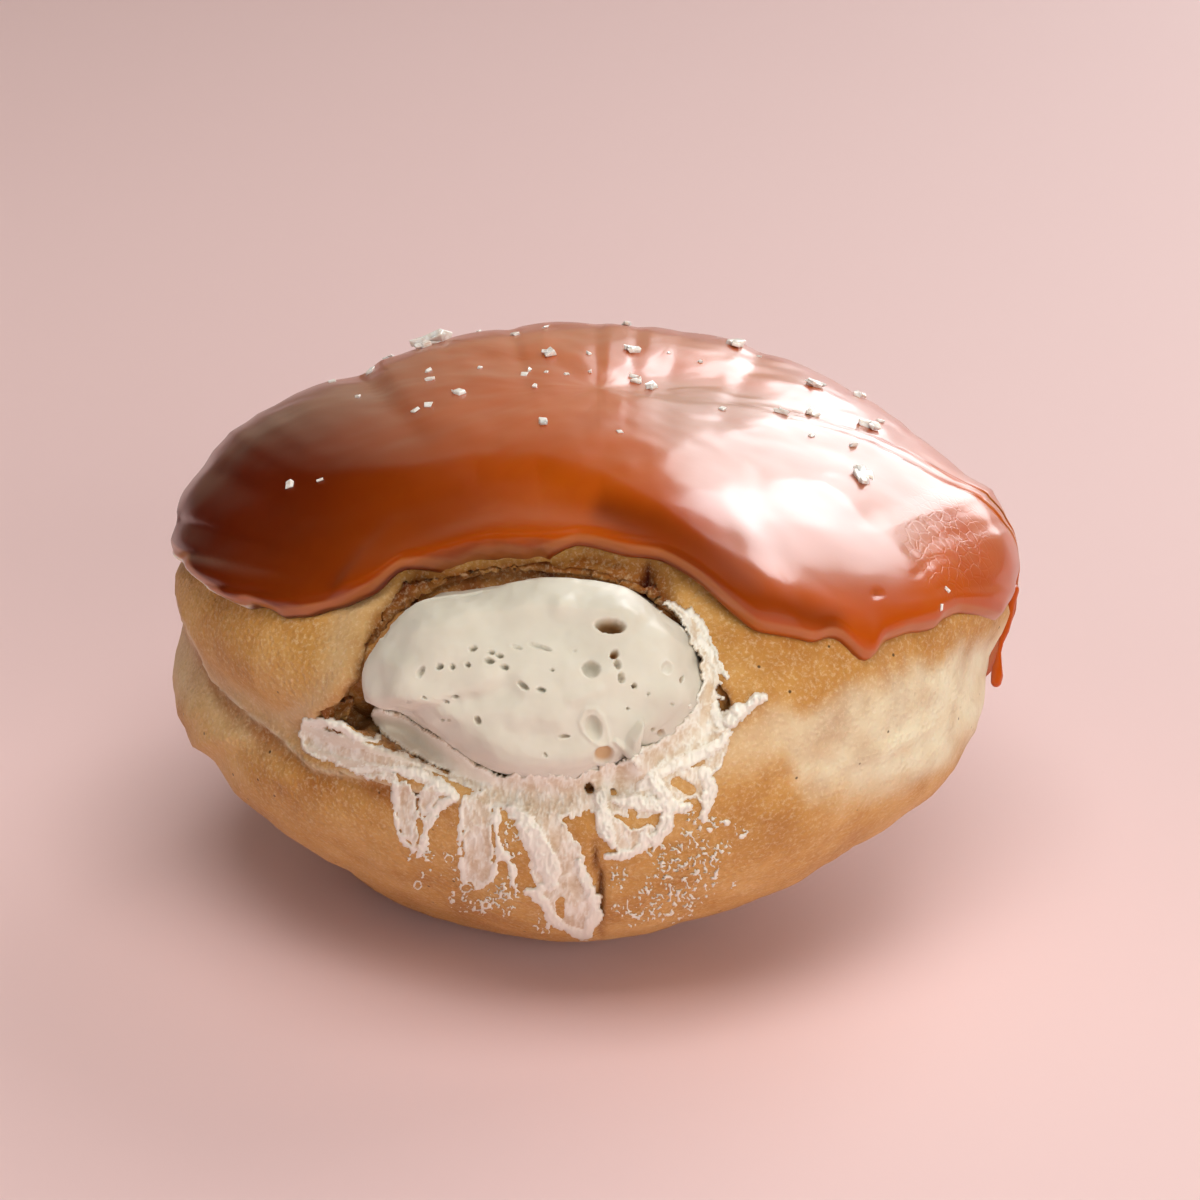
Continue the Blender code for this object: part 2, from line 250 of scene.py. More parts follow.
def fineCopy(name, voxel, rounds):
    # an evenly meshed, rounded copy of a solid of the frame
    bm = bmesh.new()
    bm.from_mesh(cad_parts[name].data)
    bmesh.ops.remove_doubles(bm, verts=bm.verts, dist=0.002 * mm)
    rough = placed(name + "Fine", meshFrom(bm, name + "Fine"))
    rounded = rough.modifiers.new("rounded", "SUBSURF")
    rounded.levels = rounded.render_levels = 2
    return evened(rough, voxel, rounds)


def addPiece(name, mesh, material, slot, *nodes):
    mesh.materials.clear()
    mesh.materials.append(material)
    mesh.shade_smooth()
    piece = placed(name, mesh)
    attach(piece, "root")
    if nodes:
        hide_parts(*nodes)
    print("  " + name + ":", len(mesh.polygons), "faces")
    return piece


# small tools for materials
def linear(code):
    channels = [int(code[i:i + 2], 16) / 255.0 for i in (1, 3, 5)]
    return tuple(c / 12.92 if c <= 0.04045 else ((c + 0.055) / 1.055) ** 2.4 for c in channels) + (1.0,)


def add(tree, kind, settings=None, links=None):
    made = tree.nodes.new("ShaderNode" + kind)
    for key, value in (settings or {}).items():
        if key == "stops":
            ramp = made.color_ramp
            while len(ramp.elements) < len(value):
                ramp.elements.new(0.5)
            for element, (place, colour) in zip(ramp.elements, value):
                element.position = place
                element.color = linear(colour) if isinstance(colour, str) else (colour, colour, colour, 1.0)
        elif hasattr(made, str(key)):
            setattr(made, key, value)
        else:
            made.inputs[key].default_value = linear(value) if isinstance(value, str) else value
    for key, source in (links or {}).items():
        tree.links.new(source, made.inputs[key])
    return made


def newMaterial(name):
    material = bpy.data.materials.new(name)
    material.use_nodes = True
    tree = material.node_tree
    tree.nodes.clear()
    coords = add(tree, "TexCoord")
    return material, tree, coords.outputs["Object"]


def perMm(size):
    # texture scale for blobs of this size in mm
    return 1.0 / (size * mm)


# outline of the cream as seen, clockwise from the right, which the slit's lip follows too
creamOutline = {
    "middle": (540, 682),
    "points": ((716, 690), (712, 708), (700, 728), (686, 742), (662, 758), (630, 771), (600, 778),
               (570, 782), (540, 782), (508, 776), (480, 766), (455, 752), (433, 736), (412, 722),
               (396, 712), (378, 711), (366, 701), (363, 687), (366, 662), (376, 644), (391, 621),
               (405, 607), (418, 598), (433, 594), (461, 591), (482, 588), (501, 585), (523, 580),
               (557, 577), (583, 580), (615, 584), (636, 592), (654, 603), (668, 614), (686, 628),
               (700, 647), (711, 668)),
}
creamEdge = list(zip(*polarOf(*np.array(creamOutline["points"], float).T, creamOutline["middle"])))

# dough: a yeast bun fried golden, pale where it floated above the fat
doughLook = {
    "voxel": 0.58,            # mm
    "smoothRounds": 5,
    "middle": (598, 640),
    # outline of dough and icing together, in pixels, clockwise from the left
    "outline": ((173, 676), (174, 642), (174, 610), (173, 575), (173, 540), (177, 512), (185, 490),
                (197, 470), (210, 450), (227, 430), (252, 410), (291, 389), (356, 369), (400, 351),
                (441, 338), (511, 326), (597, 323), (636, 326), (681, 330), (726, 338), (763, 350),
                (816, 369), (856, 389), (891, 410), (920, 430), (948, 450), (972, 470), (994, 490),
                (1006, 510), (1015, 530), (1020, 550), (1022, 570), (1022, 590), (1017, 612), (1004, 634),
                (995, 655), (989, 677), (984, 705), (977, 730), (970, 744), (956, 771), (935, 796),
                (914, 813), (886, 834), (858, 850), (823, 871), (795, 887), (760, 901), (711, 917),
                (680, 924), (626, 937), (583, 942), (518, 939), (449, 921), (403, 905), (345, 875),
                (299, 850), (265, 825), (230, 795), (207, 763), (191, 747), (178, 715)),
    # turns between which icing makes the outline, pixels of dough that it hides
    "iced": (-170.0, -4.0, 15.0),
    "outlineReach": (0.55, 0.97),   # share of the way out where the fit starts and is whole
    "swells": ((9.0, 0.22, 1.0), (2.6, 0.10, 2.0), (1.1, 0.05, 3.0)),   # blob size and height in mm, seed
    "crumb": ((2.2, 0.35, 4.0), (0.9, 0.25, 5.0)),                       # the same inside the slit
    # how many pixels the slit's lip closes on the cream, round the cream, and how far out that is felt
    "grip": ((0, 13), (45, 12), (90, 11), (135, 9), (180, 5), (-150, 5), (-120, 6), (-90, 7), (-45, 9)),
    "gripReach": 34.0,
    # middle of the slit, azimuth and latitude, and its reach to the side and up, in degrees
    "slit": (-97.0, 17.0, 42.0, 24.0),
    # upper wall of the slit, seen between icing and cream: lip line, then how deep it lies in mm
    "recessTop": ((395, 590), (403, 577), (414, 569), (436, 568), (459, 568), (472, 563), (486, 557),
                  (510, 555), (545, 556), (570, 550), (583, 547), (596, 549), (626, 557), (656, 562),
                  (672, 574)),
    "recessDepth": 1.0,
    "recessAcross": (388.0, 402.0, 660.0, 680.0),
    "recessDown": (-4.0, 9.0, 45.0, 60.0),      # pixels below the line of its top
    "recessRolls": ((0.5, 6.0, ((420, 578, 4), (458, 580, 4))), (0.45, 6.0, ((488, 569, 4), (520, 570, 4))),
                    (0.5, 7.0, ((560, 566, 5), (622, 570, 5)))),
    # folds: depth in mm, softness in pixels, redness (soaked toffee and painted shade in the fold), then
    # points (u, v, radius)
    "creases": ((1.5, 5.0, 1.0, ((646, 564, 2.5), (643, 582, 5.0), (650, 602, 3.0))),
                (1.2, 5.0, 0.9, ((405, 592, 3.0), (411, 598, 4.0))),
                (0.4, 4.0, 0.5, ((540, 570, 1.0), (552, 577, 1.5)))),
    # cheek: edge of the lobe beside the cream, from above
    "cheekEdge": ((586, 398), (600, 386), (615, 374), (632, 367), (655, 365), (675, 359), (690, 349),
                  (702, 340), (712, 324)),
    "cheekDrop": 0.9,          # mm
    "cheekDown": (582.0, 596.0, 708.0, 726.0),
    "cheekAcross": (-60.0, -20.0),              # pixels right of the cheek's edge
    "wallAcross": (-2.0, 6.0, 30.0, 60.0),
    "pit": ((324, 716, 2.0), (336, 716, 6.0), (348, 712, 9.0), (362, 720, 7.0)),
    "pitDepth": 2.2,
    "foldLine": ((176, 596), (187, 624), (199, 648), (215, 684), (232, 699), (256, 720), (280, 738),
                 (295, 753), (310, 768), (328, 773), (346, 775), (372, 780), (400, 789), (445, 799),
                 (500, 808)),
    "foldAcross": (168.0, 186.0, 420.0, 500.0),
    "foldFlap": (0.45, 22.0),          # mm, pixels: the upper flap swells out above the line
    "foldStep": (-0.75, 3.0, 34.0),    # mm, pixels to its bottom, pixels to fade out below
    "crack": ((595, 840, 0.5), (597, 866, 3.6), (601, 892, 4.0), (602, 935, 1.0)),
    "crackDepth": 1.2,
    "bandTop": ((777, 705), (805, 708), (840, 694), (886, 684), (917, 667), (956, 652), (991, 638)),
    "bandBottom": ((781, 761), (805, 790), (844, 799), (879, 794), (907, 782), (935, 771), (963, 754),
                   (973, 733)),
    # the pale band where the photo doesn't show it: azimuth, latitude, and its strength all round
    "bandTopBehind": [(15, 3), (60, 4), (120, 3), (170, 4), (-165, 5)],
    "bandBottomBehind": [(15, -13), (60, -10), (120, -12), (170, -9), (-165, -3)],
    # the band is kept weak on the left, a painted shade of that side
    "bandStrength": [(-178, 0.35), (-150, 0.35), (-120, 0.1), (-80, 0.1), (-62, 0.75), (-50, 1.0),
                     (-10, 1.0), (90, 0.8), (160, 0.6)],
    "arc": ((-0.35, 9.0, ((774, 722, 1), (784, 742, 3), (800, 757, 4), (830, 764, 3))),
            (0.3, 9.0, ((846, 766, 2), (884, 750, 4), (926, 730, 3)))),
}

crust, tree, coords = newMaterial("friedDoughCrust")
# a thin fried crust: matt with a faint fat sheen, golden brown in soft patches, cream pale at the waist
patches = add(tree, "TexNoise", {"Scale": perMm(9.0), "Detail": 4.0, "Roughness": 0.6}, {"Vector": coords})
grain = add(tree, "TexNoise", {"Scale": perMm(0.42), "Detail": 3.0, "Roughness": 0.7}, {"Vector": coords})
pores = add(tree, "TexVoronoi", {"Scale": perMm(0.7), "Randomness": 1.0}, {"Vector": coords})
browned = add(tree, "ValToRGB", {"stops": [(0.3, "#b57f3f"), (0.5, "#c6934f"), (0.7, "#d4a667")]},
              {"Fac": patches.outputs["Fac"]})
pale = add(tree, "Attribute", {"attribute_name": "pale"})
paleMix = add(tree, "Mix", {"data_type": "RGBA", 7: "#e8dfc4"},
              {0: pale.outputs["Fac"], 6: browned.outputs["Color"]})
# darker brown: browning from the fat, and painted shade in the slit's recess, on its wall, in the groove
# under the fold and in the crack
toast = add(tree, "Attribute", {"attribute_name": "toast"})
toastAndShadeMix = add(tree, "Mix", {"data_type": "RGBA", 7: "#9c5a1c"},
               {0: toast.outputs["Fac"], 6: paleMix.outputs[2]})
# painted shade: dark brown inside the slit, in the crack and in the pit beside the cream
inner = add(tree, "Attribute", {"attribute_name": "inner"})
hollowShadeMix = add(tree, "Mix", {"data_type": "RGBA", 7: "#7d4512"},
               {0: inner.outputs["Fac"], 6: toastAndShadeMix.outputs[2]})
# dark red: toffee soaked into the crust, and painted shade in the creases and low in the slit's recess
red = add(tree, "Attribute", {"attribute_name": "red"})
redMix = add(tree, "Mix", {"data_type": "RGBA", 7: "#5e1405"},
             {0: red.outputs["Fac"], 6: hollowShadeMix.outputs[2]})
# pale speckle of dried flour and sugar, and a few burnt specks
speckle = add(tree, "MapRange", {"From Min": 0.50, "From Max": 0.70, "To Max": 0.36},
              {"Value": grain.outputs["Fac"]})
speckled = add(tree, "Mix", {"data_type": "RGBA", 7: "#f0dcbc"},
               {0: speckle.outputs[0], 6: redMix.outputs[2]})
specks = add(tree, "TexVoronoi", {"Scale": perMm(3.2), "Randomness": 1.0}, {"Vector": coords})
speckShare = add(tree, "MapRange", {"From Min": 0.07, "From Max": 0.04, "To Max": 0.9},
                 {"Value": specks.outputs["Distance"]})
speckMix = add(tree, "Mix", {"data_type": "RGBA", 7: "#4a3018"},
               {0: speckShare.outputs[0], 6: speckled.outputs[2]})
poreHeight = add(tree, "MapRange", {"From Max": 0.6}, {"Value": pores.outputs["Distance"]})
heights = add(tree, "Math", {"operation": "ADD"},
              {0: poreHeight.outputs[0], 1: grain.outputs["Fac"]})
bumps = add(tree, "Bump", {"Strength": 0.8, "Distance": 0.12 * mm}, {"Height": heights.outputs[0]})
shader = add(tree, "BsdfPrincipled",
             {"Roughness": 0.5, "IOR": 1.45, "Specular IOR Level": 0.45, "Subsurface Weight": 0.12,
              "Subsurface Radius": (1.0, 0.45, 0.2), "Subsurface Scale": 1.6 * mm},
             {"Base Color": speckMix.outputs[2], "Normal": bumps.outputs["Normal"]})
add(tree, "OutputMaterial", {}, {"Surface": shader.outputs[0]})

print("dough")
mesh = fineCopy("dough", doughLook["voxel"], doughLook["smoothRounds"])
points = arraysOf(mesh)[0]
outline = list(zip(*polarOf(*np.array(doughLook["outline"], float).T, doughLook["middle"])))
icedFrom, icedTo, hiddenRim = doughLook["iced"]
hiddenSpan = (icedFrom - 3.0, icedFrom + 3.0, icedTo - 3.0, icedTo + 3.0)
wanted = []
for a, b in outline:
    wanted.append((a, b - hiddenRim * float(between(a, hiddenSpan))))
points = fitted(points, doughLook["middle"], wanted, doughLook["outlineReach"],
                lambda turn, moved: smoothStep(0.5 * mm, 7.0 * mm, moved[:, 2]))
# the slit's lip closes on the cream
turn, spread = polarOf(*pixelsOf(points), creamOutline["middle"])
reach = levelAt(turn, creamEdge)
grip = levelAt(turn, doughLook["grip"]) * smoothStep(-22.0 * mm, -30.0 * mm, points[:, 1])
beyond = np.maximum(spread - reach - grip, 0.0)
closer = np.where(beyond > 0.0, spread - grip * hill(beyond, doughLook["gripReach"]),
                  spread * reach / (reach + grip))
points = stretched(points, creamOutline["middle"], closer / np.maximum(spread, 1.0))
setPoints(mesh, points)
points, normals = arraysOf(mesh)
u, v = pixelsOf(points)
azimuth, latitude = anglesOf(points)
front = facing(normals)
outward = points - np.array(core)
outward /= np.linalg.norm(outward, axis=1)[:, None]
slitAzimuth, slitLatitude, slitWidth, slitHeight = doughLook["slit"]
nearSlit = hill(turnBetween(azimuth, slitAzimuth), slitWidth) * hill(latitude - slitLatitude, slitHeight)
inside = smoothStep(0.6, 0.25, (outward * normals).sum(1)) * smoothStep(0.3, 0.6, nearSlit)
lift = swellsAt(points, doughLook["swells"]) + inside * swellsAt(points, doughLook["crumb"], 2)
recessU, recessV = zip(*doughLook["recessTop"])
belowLip = v - np.interp(u, recessU, recessV)
recess = front * between(u, doughLook["recessAcross"]) * between(belowLip, doughLook["recessDown"])
lift -= doughLook["recessDepth"] * recess
lift += 0.15 * recess * noiseAt(points, 1.6, 6.0, 2)
for height, softness, roll in doughLook["recessRolls"]:
    lift += height * recess * smoothStep(-softness, softness, strokeDepth(u, v, roll))
reddened = np.zeros(len(points))
for depth, softness, redness, crease in doughLook["creases"]:
    here = front * smoothStep(-softness, softness * 0.5, strokeDepth(u, v, crease))
    lift -= depth * here
    reddened = np.maximum(reddened, redness * here)
edgeV, edgeU = zip(*doughLook["cheekEdge"])
rightOfCheek = u - np.interp(v, edgeV, edgeU)
onCheek = front * between(v, doughLook["cheekDown"]) * smoothStep(*doughLook["cheekAcross"], rightOfCheek)
wall = onCheek * between(rightOfCheek, doughLook["wallAcross"])
lift -= doughLook["cheekDrop"] * wall
lift += 0.3 * onCheek * hill(rightOfCheek + 14.0, 12.0)
inPit = strokeDepth(u, v, doughLook["pit"]) + 2.0 * noiseAt(points, 0.9, 8.0, 2)
pitShare = front * smoothStep(-4.0, 3.0, inPit)
lift -= doughLook["pitDepth"] * pitShare
foldU, foldV = zip(*doughLook["foldLine"])
fromFold = np.interp(u, foldU, foldV) - v      # pixels above the fold's line
onFold = front * between(u, doughLook["foldAcross"])
flap, flapReach = doughLook["foldFlap"]
step, stepReach, stepFade = doughLook["foldStep"]
lift += onFold * flap * smoothStep(-2.0, 2.0, fromFold) * np.exp(-np.maximum(fromFold, 0.0) / flapReach)
lift += onFold * step * smoothStep(2.0, -stepReach, fromFold) * np.exp(np.minimum(fromFold, 0.0) / stepFade)
for height, softness, stroke in doughLook["arc"]:
    lift += front * height * smoothStep(-softness, softness * 0.5, strokeDepth(u, v, stroke))
crackDepth = strokeDepth(u, v, doughLook["crack"]) * front
lift -= doughLook["crackDepth"] * smoothStep(-1.0, 3.0, crackDepth)
lift[points[:, 2] < 0.3 * mm] = 0.0            # the foot stays flat on the table
points += normals * (lift * mm)[:, None]
points[:, 2] = np.maximum(points[:, 2], 0.0)
setPoints(mesh, points)

doughTree = treeOf(mesh)


def surfaceAt(tree, u, v):
    place, normal, _, _ = tree.ray_cast(eye, rayThrough(u, v))
    return place, normal


def anglesAt(tree, pixels):
    # azimuth and latitude where the view through each pixel meets the surface
    hits = [surfaceAt(tree, *pixel)[0] for pixel in pixels]
    found = [np.array(hit) for hit in hits if hit is not None]
    azimuths, latitudes = anglesOf(np.array(found))
    return sorted(zip(azimuths, latitudes))


bandTop = levelAt(azimuth, anglesAt(doughTree, doughLook["bandTop"]) + doughLook["bandTopBehind"])
bandBottom = levelAt(azimuth, anglesAt(doughTree, doughLook["bandBottom"]) + doughLook["bandBottomBehind"])
wander = 1.6 * noiseAt(points, 6.0, 11.0, 3)
band = smoothStep(-2.0, 2.5, bandTop + wander - latitude)
band *= smoothStep(-3.5, 3.5, latitude - bandBottom + wander)
paleness = band * levelAt(azimuth, doughLook["bandStrength"]) * (0.9 + 0.2 * noiseAt(points, 3.0, 12.0, 2))
paleness += 0.25 * onCheek * hill(rightOfCheek + 30.0, 26.0) + 0.7 * onFold * hill(fromFold - 1.0, 3.5)
setShare(mesh, "pale", paleness)
under = smoothStep(22.0, 8.0, np.abs(latitude - 24.0))
browningAndShade = 0.35 * smoothStep(-25.0, -62.0, latitude) + 0.3 * under * hill(turnBetween(azimuth, -45.0), 30.0)
# painted shade: darker in the groove under the fold, in the crack, in the recess and on the slit's wall
browningAndShade += 0.6 * onFold * hill(fromFold + 12.0, 13.0) + 0.5 * smoothStep(-4.0, 4.0, crackDepth)
browningAndShade += recess * (0.75 + 0.4 * noiseAt(points, 1.3, 14.0, 3)) + 0.75 * wall
setShare(mesh, "toast", browningAndShade + 0.3 * noiseAt(points, 4.0, 13.0, 3))
# painted shade in the slit's hollow, the crack and the pit
setShare(mesh, "inner", inside * (0.55 + 0.5 * noiseAt(points, 1.2, 15.0, 3))
         + smoothStep(-1.0, 3.0, crackDepth)
         + pitShare * (0.9 + 0.5 * noiseAt(points, 0.8, 16.0, 2)))
# soaked toffee and painted shade: dark red in the creases and low in the recess
setShare(mesh, "red", reddened + 0.45 * recess * smoothStep(10.0, 24.0, belowLip))
addPiece("doughBun", mesh, crust, "fried_dough", "dough")

# lining of the slit: the torn crumb between its lip and the cream
liningLook = {
    "turns": 240,
    "rings": 12,
    "inner": -5.0,         # pixels from the cream's outline
    "outer": 36.0,
    "lipSeenAt": (10.0, 16.0, 24.0),
    "behind": 0.8,         # mm behind the lip beside the cream
    "slope": 2.2,          # mm more where it dives under the crust
    "rough": ((2.4, 0.3, 61.0), (0.8, 0.10, 62.0)),
    "backing": 0.4,        # mm
}

print("slit lining")


def besideCream(turn, aside):
    # pixel this far outside the cream's outline
    away = float(levelAt(turn, creamEdge)) + aside
    middleU, middleV = creamOutline["middle"]
    return middleU + away * math.cos(math.radians(turn)), middleV + away * math.sin(math.radians(turn))


def lipDepth(turn):
    # distance from the eye to the nearest crust beside the cream, in mm
    found = []
    for beside in liningLook["lipSeenAt"]:
        place = surfaceAt(doughTree, *besideCream(turn, beside))[0]
        if place is not None:
            found.append((place - eye).length / mm)
    return min(found)


lipTurns = np.arange(-180.0, 180.0, 4.0)
lipDepths = np.array([lipDepth(turn) for turn in lipTurns])
lipDepths = sum(np.roll(lipDepths, k) for k in (-2, -1, 0, 1, 2)) / 5.0
bm = bmesh.new()
bmesh.ops.create_grid(bm, x_segments=liningLook["turns"], y_segments=liningLook["rings"], size=1.0)
for vert in bm.verts:
    turn, share = vert.co.x * 180.0, (vert.co.y + 1.0) / 2.0
    aside = liningLook["inner"] + share * (liningLook["outer"] - liningLook["inner"])
    ray = rayThrough(*besideCream(turn, aside))
    depth = float(np.interp(turn, lipTurns, lipDepths, period=360.0))
    depth += liningLook["behind"] + liningLook["slope"] * share ** 1.5
    vert.co = eye + ray * depth * mm
bmesh.ops.remove_doubles(bm, verts=bm.verts, dist=0.01 * mm)
if sum(face.normal.dot(viewAlong) for face in bm.faces) > 0.0:
    bmesh.ops.reverse_faces(bm, faces=bm.faces)
mesh = meshFrom(bm, "slitLining")
points = arraysOf(mesh)[0]
u, v = pixelsOf(points)
lift = swellsAt(points, liningLook["rough"], 2)
for height, softness, roll in doughLook["recessRolls"]:
    lift += height * smoothStep(-softness, softness, strokeDepth(u, v, roll))
reddened = np.zeros(len(points))
for depth, softness, redness, crease in doughLook["creases"]:
    here = smoothStep(-softness, softness * 0.5, strokeDepth(u, v, crease))
    lift -= 0.7 * depth * here
    reddened = np.maximum(reddened, redness * here)
pitShare = smoothStep(-4.0, 3.0, strokeDepth(u, v, doughLook["pit"]))
setPoints(mesh, points - np.outer((lift - pitShare) * mm, np.array(viewAlong)))
overCream = smoothStep(-20.0, -60.0, v - creamOutline["middle"][1])
# brown of the lining, partly painted shade of the slit
setShare(mesh, "toast", 0.5 + 0.4 * noiseAt(points, 2.0, 63.0, 2))
# painted shade in the pit, and a little over the whole lining
setShare(mesh, "inner", 0.05 + 0.25 * noiseAt(points, 1.2, 64.0, 2) + 0.8 * pitShare)
# soaked toffee and painted shade: dark red in the creases and over the cream
setShare(mesh, "red", reddened + 0.3 * overCream + 0.3 * overCream * noiseAt(points, 2.5, 65.0, 2))
mesh = thickened(placed("liningRough", mesh), liningLook["backing"])
liningTree = treeOf(mesh)
addPiece("slitLining", mesh, crust, "fried_dough")

# toffee icing: poured hot and set with a thick rounded rim
icingLook = {
    "columns": 420,
    "rings": 112,
    "outerShare": 0.80,        # of the rings are on the outer face, then come the rim and the inner face
    "rimShare": 0.89,
    "frontGather": 0.35,       # columns are closer together at the front
    "front": -95.0,
    "gap": 0.3,                # mm off the dough
    "thickness": 1.45,
    "rimDrop": 1.5,            # degrees from the top of the rim to its foot
    "skirt": 1.4,              # degrees over which it thins towards the rim
    "lip": 0.35,               # degrees of darker band below the pale rim
    "highlightedRim": (168, 176, 246, 254),     # pixels between which a painted highlight whitens the foot of the rim
    # painted highlight: a pale grey mixed into the glaze on the upper right, where the lamps' reflection
    # lies: points (u, v, radius)
    "bloom": ((680, 405, 38), (745, 455, 70), (800, 490, 92), (865, 512, 72)),
    "highlightSoftness": 26.0,     # pixels
    # painted shade: darker toffee below the shoulder on the right, where the glaze turns down and away from
    # the lamps
    "shadeBelowShoulder": ((606, 512, 8), (650, 530, 14), (700, 560, 14), (760, 602, 10), (830, 622, 8)),
    "bunching": 0.62,          # rings are closer together towards the rim
    "waves": ((11.0, 0.30, 21.0), (4.5, 0.08, 22.0), (1.6, 0.015, 23.0)),
    "shoulder": ((215, 470), (330, 474), (420, 470), (480, 458), (540, 458), (600, 474), (650, 502),
                 (700, 538), (760, 572), (830, 590)),
    "shoulderAcross": (215.0, 330.0, 740.0, 840.0),
    "shoulderRise": (1.3, 70.0, 24.0),   # mm, pixels that it takes above and below
    "edge": ((177, 536), (179, 541), (190, 553), (198, 563), (208, 568), (216, 580), (225, 589), (238, 599),
             (247, 609), (256, 610), (265, 607), (276, 612), (287, 620), (294, 618), (310, 618), (328, 613),
             (355, 606), (382, 596), (391, 591), (402, 582), (414, 574), (436, 573), (459, 573), (472, 567),
             (486, 562), (510, 560), (531, 563), (545, 561), (559, 558), (570, 554), (579, 551), (596, 554),
             (626, 562), (641, 563), (656, 565), (672, 572), (690, 583), (705, 595), (718, 606), (735, 619),
             (753, 632), (778, 636), (795, 639), (812, 644), (826, 638), (837, 639), (846, 647), (855, 659),
             (864, 663), (873, 655), (881, 643), (893, 639), (907, 634), (921, 633), (935, 630), (942, 621),
             (958, 614), (978, 617), (995, 624), (1004, 632)),
    "outlineReach": (0.6, 0.98),
    "drips": ((66.0, 1.6, 0.6), (130.0, 1.8, 0.6), (-51.5, 1.3, 0.25)),  # azimuth, width, swelling
    "wrinkles": (((925, 520, 1.0), (950, 545, 1.5), (962, 570, 1.0)),
                 ((940, 505, 1.0), (968, 535, 1.5), (980, 565, 1.0)),
                 ((905, 548, 1.0), (928, 566, 1.4), (940, 592, 1.0)),
                 ((930, 540, 1.0), (958, 532, 1.2), (976, 548, 1.0)),
                 ((915, 575, 1.0), (935, 558, 1.2), (952, 556, 1.0))),
    "wrinkleDepth": 0.10,
    "crazing": (948, 545, 44.0, 62.0, -28.0),
    "pinhole": (877, 594, 3.0, 3.0, 0.0),
}
seat = {
    "step": 1.0,                    # degrees
    "blur": 1.7,                    # degrees
    "browWidth": 36.0,              # degrees to each side of the slit's middle
    "browLatitudes": (24.0, 50.0),
    "browDepth": 2.1,               # mm under the icing's outside
    "from": 90.0,                   # mm from the core, where each look inwards starts
    "least": 15.0,                  # mm from the core, less than which is no surface
    "searched": (-10.0, 40.0, 0.5),  # latitudes in which the icing's lower edge is looked for
    "icingLeast": 30.0,             # mm from the core
    "edgeUnfound": 17.0,            # latitude of the edge where the look finds none
    "aside": (-1.5, 0.0, 1.5),      # degrees to each side that an unseen run is widened by
}

glaze, tree, coords = newMaterial("toffeeGlaze")
# boiled sugar and butter: glassy, wet looking and amber; painted shade darkens its left side and the band
# below the shoulder, and it is darker along the foot of the rim; its pale rim is partly its thinness and
# partly a painted reflection; painted highlights whiten the upper right and the foot of the rim on the far
# left
depthPatches = add(tree, "TexNoise", {"Scale": perMm(16.0), "Detail": 2.0, "Roughness": 0.5},
                   {"Vector": coords})
# painted shade: the amber turns dark brown on the left side and below the shoulder; it is darker along the
# foot of the rim too
deep = add(tree, "Attribute", {"attribute_name": "deep"})
amber = add(tree, "Mix", {"data_type": "RGBA", 6: "#bd5307", 7: "#5e1b03"}, {0: deep.outputs["Fac"]})
patchy = add(tree, "Mix", {"data_type": "RGBA", "blend_type": "SOFT_LIGHT", 0: 0.5},
             {6: amber.outputs[2], 7: depthPatches.outputs["Fac"]})
# pale rim: partly the glaze's thinness there, partly a painted reflection of the light in front
rim = add(tree, "Attribute", {"attribute_name": "rim"})
rimMix = add(tree, "Mix", {"data_type": "RGBA", 7: "#b26a3c"},
             {0: rim.outputs["Fac"], 6: patchy.outputs[2]})
# painted highlight: pale grey mixed in where the lamps' reflection lies, so that it reads whiter
bloom = add(tree, "Attribute", {"attribute_name": "bloom"})
paintedHighlightMix = add(tree, "Mix", {"data_type": "RGBA", 7: "#a39085"},
               {0: bloom.outputs["Fac"], 6: rimMix.outputs[2]})
# painted highlight: near white along the foot of the rim on the far left
frost = add(tree, "Attribute", {"attribute_name": "frost"})
rimHighlightMix = add(tree, "Mix", {"data_type": "RGBA", 7: "#efe6dc"},
               {0: frost.outputs["Fac"], 6: paintedHighlightMix.outputs[2]})
# the surface is fine grained where sugar has crystallised, and crazed where the glaze dried over the edge
ripples = add(tree, "TexNoise", {"Scale": perMm(2.5), "Detail": 2.0}, {"Vector": coords})
sugar = add(tree, "TexNoise", {"Scale": perMm(0.28), "Detail": 2.0, "Roughness": 0.6}, {"Vector": coords})
crazing = add(tree, "TexVoronoi", {"feature": "DISTANCE_TO_EDGE", "Scale": perMm(1.3), "Randomness": 1.0},
              {"Vector": coords})
crazed = add(tree, "Attribute", {"attribute_name": "crazed"})
lines = add(tree, "MapRange", {"From Max": 0.09}, {"Value": crazing.outputs["Distance"]})
cracks = add(tree, "Math", {"operation": "MULTIPLY"}, {0: lines.outputs[0], 1: crazed.outputs["Fac"]})
rippled = add(tree, "Bump", {"Strength": 0.12, "Distance": 0.05 * mm}, {"Height": ripples.outputs["Fac"]})
grained = add(tree, "Bump", {"Strength": 0.35, "Distance": 0.012 * mm},
              {"Height": sugar.outputs["Fac"], "Normal": rippled.outputs["Normal"]})
bumps = add(tree, "Bump", {"Strength": 0.35, "Distance": 0.06 * mm},
            {"Height": cracks.outputs[0], "Normal": grained.outputs["Normal"]})
shader = add(tree, "BsdfPrincipled",
             {"Roughness": 0.3, "IOR": 1.5, "Specular IOR Level": 0.42, "Coat Weight": 0.4,
              "Coat Roughness": 0.14, "Coat IOR": 1.5, "Subsurface Weight": 0.3,
              "Subsurface Radius": (1.0, 0.32, 0.05), "Subsurface Scale": 2.5 * mm},
             {"Base Color": rimHighlightMix.outputs[2], "Normal": bumps.outputs["Normal"]})
add(tree, "OutputMaterial", {}, {"Surface": shader.outputs[0]})

print("toffee icing")
cadIcing = treeOf(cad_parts["toffee_icing"].data)


